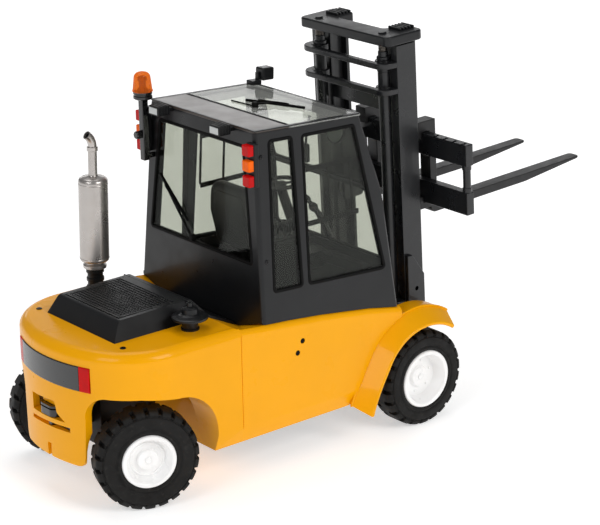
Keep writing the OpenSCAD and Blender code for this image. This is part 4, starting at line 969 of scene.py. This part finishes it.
def exhaust():
    at = ROW @ move(-89.2, 26.6, DECK_Z)
    base = [(0, 0), (3.6, 0), (3.6, 0.5), (3.1, 1.5), (2.6, 2.2), (2.6, 3.4), (2.95, 3.6), (2.95, 4.6),
        (2.6, 4.8), (2.6, 6.2), (3, 6.5), (3, 7.8), (0, 7.8)]
    piece("exhaust_foot", lathe(base, 48), BLACK, "exhaust_base", at=at)
    m = ROW @ move(-89.2, 26.6, 61.1) @ rot(1.8, "Y")
    can = [(0, 0), (3.6, 0), (3.9, 0.2), (3.9, 1.1), (3.6, 1.4), (3.1, 1.7), (3.1, 2), (4.3, 2.4),
        (4.75, 2.8), (4.9, 3.3), (4.9, 29.6), (4.8, 30.2), (4.5, 30.7), (3.9, 31.1), (2.4, 31.4),
        (1.7, 31.6), (1.5, 32), (1.5, 40), (0, 40)]
    parts = [lathe(can, 72)]
    for z in (3.6, 29):
        parts.append(ring(arc(4.86, z, 0.14, 0, 315, 7), 72))
    parts.append(lathe([(0, 39.9), (1.7, 39.9), (1.85, 40.05), (1.85, 41.25), (1.7, 41.4), (0, 41.4)], 40))
    path = [(x, 0, z) for x, z in arc(-5, 41.4, 5, 0, 55, 12)]
    outer = tube(path, 1.45, 32, caps=False)
    inner = tube(path, 1.15, 32, caps=False)
    bmesh.ops.reverse_faces(inner, faces=inner.faces[:])
    lip = joined([outer, inner])
    ends = [e for e in lip.edges if e.is_boundary
        and all((v.co - Vector(path[-1])).length < 1.6 for v in e.verts)]
    bmesh.ops.bridge_loops(lip, edges=ends)
    parts.append(lip)
    piece("exhaust_can", parts, SILVER, "exhaust_muffler", at=m)
    # Black disc just inside the pipe's outlet: painted shade of the bore
    piece("exhaust_bore_shade", turned(lathe([(0, 0), (1.15, 0), (1.15, 0.2), (0, 0.2)], 24), rot(-55, "Y"),
        move(-5 + 5 * cos(radians(44)), 0, 41.4 + 5 * sin(radians(44)))), SEAL, at=m)
    cap = [(0, 0), (3, 0), (3, 0.5), (2.6, 0.8), (2.6, 3.1), (3, 3.3), (5.4, 3.5), (5.8, 3.7), (5.9, 4.1),
        (5.8, 4.45), (5.4, 4.7), (4, 4.8), (3.3, 5), (2.7, 5.4), (2.6, 6.9), (2.2, 7.35), (1.5, 7.5),
        (1, 7.6), (1, 8.7), (0.8, 8.95), (0, 9)]
    piece("intake_cap", lathe(cap, 64), GREY, "air_cleaner", at=ROW @ move(-87.8, -24, DECK_Z))


def back_end():
    def band(a0, a1):
        sec = rounded(rect(49.45, 39.5, 50.38, 47.8), [0.05, 0.3, 0.3, 0.05], 3)
        return turned(ring(sec, 30, a0, a1), move(BACK_X, 0, 0))
    p = band(180 - 18.3, 180 + 18.3)
    bevel(p, 0.12, 2, 60)
    piece("lamp_panel", p, BADGE, "rear_panel")
    r = []
    for a0, a1 in ((157.15, 161.55), (198.45, 202.85)):
        b = band(a0, a1)
        bevel(b, 0.2, 3, 50)
        r.append(b)
    piece("reflector_blocks", r, RED, "rear_reflectors")
    hook = [(-124, 4.9), (-126.3, 4.9)] + arc(-125.2, 2.4, 2.5, 100, 180, 6)
    hook += arc(-125.2, -1.4, 2.5, 180, 260, 6)
    hook += [(-126.3, -3.9), (-124, -3.9), (-124, -2.1)] + arc(-125.4, -0.7, 1.1, 265, 180, 5)
    hook += arc(-125.4, 1.7, 1.1, 180, 95, 5) + [(-124, 3.1)]
    # Jaw of two plates, a knob under it, a dark bar in the groove and a dark sheet that paints the recess's
    # shade
    jaw = [prism(hook, 27.4, 29.7, "xy", 0.4, 4), prism(hook, 30.2, 30.9, "xy", 0.25, 3),
        box((-127, -1.7, 23.6), (-124.2, 0.3, 26.6), 0.4, 4),
        box((-125.7, -10.6, 24.5), (-124.2, -3.2, 25.6), 0.1, 2),
        # Dark sheet at the back of the recess: painted shade
        box((-124.3, -8.4, 27), (-123.6, 9.2, 31.6), 0.1, 2)]
    piece("tow_jaw", jaw, GLOSS, "tow_coupling")
    piece("tow_block", box((-126, -2.6, 30.7), (-123.4, 4.4, 32.6), 0.4, 4), YELLOW)
    # Web that carries the steered axle under the counterweight
    piece("axle_web", box((-121.5, -1.4, 20.4), (-86.2, 1.4, 37.7), 0.5, 3), AXLE)


def screws():
    parts = []
    head = lathe([(0, -0.4), (1, -0.4), (1, 0.1), (0.8, 0.3), (0.35, 0.33), (0.3, 0.1), (0, 0.05)], 24)
    parts += sides(turned(head, move(-113.5, 23.7, DECK_Z)))
    for x, z in ((-61.6, 105.3), (-62.4, 71.3)):
        s = lathe([(0, -0.2), (0.8, -0.2), (0.8, 0.05), (0.6, 0.25), (0.25, 0.28), (0.2, 0.1), (0, 0.05)],
            20)
        parts += sides(turned(s, rot(-90, "X"), move(x, 0, z), SIDE_M))
    piece("screw_heads", parts, DARKSTEEL, "body_screws", 30)


# ---------------- inside the cab

def seat():
    piece("seat_plinth", [box((-52, -9, 52.4), (-36, 9, 60.9), 0.6, 3),
        box((-53, -6, 60.5), (-50.6, 6, 66), 0.3)], BLACK, "seat_base")
    pad = box((-50.2, -9.35, 61.02), (-35.05, 9.35, 64.9), 1.3, 5)
    mid = box((-48.6, -5.8, 63.6), (-37.2, 5.8, 65.35), 0.7, 4)
    piece("seat_pad", [pad, mid], SEAT, "seat_cushion", 60)
    m = ROW @ move(-50.6, 0, 65.3) @ rot(-7, "Y")
    back = prism(rounded([(-10.2, 0.15), (10.2, 0.15), (12.2, 12), (9.6, 22.6), (-9.6, 22.6), (-12.2, 12)],
        [2.4, 2.4, 5, 5.4, 5.4, 5], 8), -0.3, 4, "yz", 1.7, 6)
    panel = prism(rounded([(-6, 2), (6, 2), (7.2, 12), (5.8, 19.6), (-5.8, 19.6), (-7.2, 12)], 2.2, 6), 3.3,
        4.3, "yz", 0.45, 3)
    rear = prism(rounded([(-7.2, 2), (7.2, 2), (8.6, 12), (7, 20.2), (-7, 20.2), (-8.6, 12)], 2.2, 6), -0.6,
        0.2, "yz", 0.3, 3)
    wings = sides(prism(rounded([(2, 0.4), (6.6, 0.4), (3.4, 13), (2, 13)], [0.8, 1.4, 1, 0.8], 5), 9.4,
        11.6, "xz", 0.6, 4))
    piece("seat_rest", [back, panel, rear] + wings, SEAT, "seat_back", 60, at=m)


def controls():
    lean = degrees(atan2(-11, 30.6))
    length = hypot(11, 30.6)
    col = turned(lathe([(0, 5), (2.4, 5), (2.4, 6.4), (1.7, 6.8), (1.7, length - 2), (1.4, length),
        (0, length)], 32), rot(lean, "Y"), move(-20, 0, 52.4))
    pod = box((-24.4, -4.9, 52.45), (-15.6, 4.9, 58.3), 0.8, 4)
    dash = box((-17.5, -26, 54.5), (-13.4, 26, 58.2), 0.6, 3)
    piece("column_tube", [col, pod, dash], BLACK, "steering_column")
    loop = [(x, y, 1.2) for x, y in arc(0, 0, 5.6, 0, 354, 59)]
    wheel = [tube(loop, 0.74, 16, closed=True),
        lathe([(0, 0), (1.8, 0), (1.8, 1.2), (1.4, 1.7), (0, 1.8)], 32)]
    for a in (90, 210, 330):
        wheel.append(turned(box((1.2, -0.5, 0.75), (5.4, 0.5, 1.45), 0.25, 3), rot(a, "Z")))
    piece("wheel_ring", wheel, GLOSS, "steering_wheel", 40, at=ROW @ move(-30.6, 0, 83) @ rot(-4, "Y"))
    con = [box((-47, -16.6, 52.4), (-38, -11.4, 68.4), 0.6, 3), box((-47, -17, 68), (-33, -11, 71), 0.7, 4)]
    piece("console_box", con, BLACK, "control_console")
    lev = []
    for x in (-44, -41, -38, -35):
        p = [(0, 70.8), (1, 70.8), (0.8, 71.4), (0.45, 71.8), (0.45, 74.9), (0.7, 75.2), (0.95, 75.7),
            (1, 76.1), (0.85, 76.6), (0.5, 76.9), (0, 77)]
        lev.append(zrod(x, -14, p, 20))
    piece("lever_row", lev, GLOSS, "control_levers", 40)
    # Joystick on a bent arm, a display by the door post and a mirror under the roof
    path = ((-21.5, 66.5), (-24.3, 72.8), (-26.6, 76.4), (-28.6, 78.9), (-30.4, 81.2))
    path = [(x, -14, z) for x, z in path]
    knob = lathe([(0, -1.7), (0.7, -1.6), (1.15, -0.9), (1.25, 0.1), (1.1, 0.9), (0.6, 1.5), (0, 1.6)], 24)
    collar = lathe([(0, -1.4), (1.2, -1.2), (1.5, -0.4), (1.5, 0.4), (1.2, 1.2), (0, 1.4)], 24)
    stick = [tube(path, [1.3, 1.2, 1, 0.8, 0.7], 16), turned(knob, rot(-40, "Y"), move(-31.2, -14, 82)),
        turned(collar, rot(-40, "Y"), move(-28.4, -14, 78.6))]
    piece("joystick", stick, GLOSS, smooth=40)
    screen = [prism(rounded(rect(-14.1, 94.1, -10.5, 100.6), 0.9, 5), -30.7, -29.5, "yz", 0.35, 3),
        tube([(-29.9, -12.3, 100.2), (-29.4, -12.3, 104), (-28, -12.3, 109.6)], 0.45, 10)]
    piece("display_case", screen, MASTGREY, smooth=40)
    plate = prism([(4.7, 0)] + arc(0, 0, 4.7, 0, -180, 16) + [(-4.7, 0), (-4.4, 1.2), (4.4, 1.2)], 0, 1.1,
        "yz", 0.3, 3)
    glass = prism(arc(0, -0.1, 4.1, -4, -176, 16) + [(-4, 0.6), (4, 0.6)], -0.12, 0.1, "yz", 0.04, 1)
    at = ROW @ move(-21.6, -17.3, 104.6) @ rot(10, "Y")
    piece("mirror_case", [plate, tube([(0.8, 0, 1), (1.2, 0, 4.6)], 0.45, 10)], GREY, smooth=40, at=at)
    piece("mirror_glass", glass, MIRROR, smooth=40, at=at)


counterweight()
chassis_body()
hood()
cab()
roof()
wheels()
mast()
inner_mast()
carriage()
fork("left")
fork("right")
fittings()
exhaust()
back_end()
screws()
seat()
controls()
for node_name, mat in (("underframe", AXLE), ("front_axle", AXLE), ("steer_axle", AXLE),
        ("knuckle_left", AXLE), ("knuckle_right", AXLE), ("tilt_barrels", MASTGREY), ("tilt_rods", STEEL),
        ("cab_floor", BLACK), ("roof_glass", ROOFPANE), ("rear_window", PANE), ("side_windows", PANE)):
    finish_node(node_name, mat)


# ---------------- stage

def stage():
    bm = bmesh.new()
    bmesh.ops.create_grid(bm, x_segments=8, y_segments=8, size=9)
    floor = solid("floor", bm)
    floor.data.materials.append(material("floor_paper", "F4F4F4", 0.75, vary=0.006, patch=2,
        rough_vary=0.05, grain=300, bump=0.02, spec=0.2, Emission_Color=(1, 1, 1, 1),
        Emission_Strength=0.5))
    world = bpy.data.worlds.new("studio")
    bpy.context.scene.world = world
    world.use_nodes = True
    bg = world.node_tree.nodes["Background"]
    bg.inputs["Color"].default_value = (0.98, 0.985, 1, 1)
    bg.inputs["Strength"].default_value = 0.22

    def lamp(name, at, to, size, power, colour=(1, 1, 1), size_y=None):
        d = bpy.data.lights.new(name, "AREA")
        d.energy, d.size, d.color = power, size, colour
        if size_y:
            d.shape, d.size_y = "RECTANGLE", size_y
        o = linked(name, d)
        o.location = at
        o.rotation_euler = (Vector(to) - Vector(at)).to_track_quat("-Z", "Y").to_euler()
    lamp("key", (0.2, -1.1, 0.75), (0, 0, 0.05), 0.6, 6.9, (1, 0.99, 0.97))
    lamp("fill", (-1.1, -0.3, 0.8), (0, 0, 0.06), 0.6, 4.3, (0.98, 0.99, 1))
    lamp("top", (0.1, 0.45, 1.25), (0, 0, 0.08), 0.8, 4.2)
    lamp("sweep", (0.66, 0.78, 0.30), (0, 0, 0.12), 1.2, 1.5, (1, 1, 1), 0.2)
    bpy.context.scene.view_settings.view_transform = "Standard"
    # Camera: look direction, level axes, then a small roll
    yaw, pitch, roll = radians(50.870), radians(19.022), radians(-0.989)
    fwd = Vector((cos(yaw) * cos(pitch), sin(yaw) * cos(pitch), -sin(pitch)))
    right = fwd.cross(Vector((0, 0, 1))).normalized()
    up = right.cross(fwd)
    cx = right * cos(roll) + up * sin(roll)
    cy = up * cos(roll) - right * sin(roll)
    cam = bpy.data.cameras.new("camera")
    cam.lens, cam.sensor_width, cam.sensor_fit = 128.41, 36, "HORIZONTAL"
    cam.clip_start, cam.clip_end = 0.05, 60
    cam.dof.use_dof = False
    o = linked("camera", cam)
    o.matrix_world = Matrix.Translation(((-459.874 + ORIGIN_X) / 1000, -0.536817,
        0.292828)) @ Matrix(((cx.x, cy.x, -fwd.x, 0), (cx.y, cy.y, -fwd.y, 0), (cx.z, cy.z, -fwd.z, 0),
        (0, 0, 0, 1)))
    bpy.context.scene.camera = o


stage()
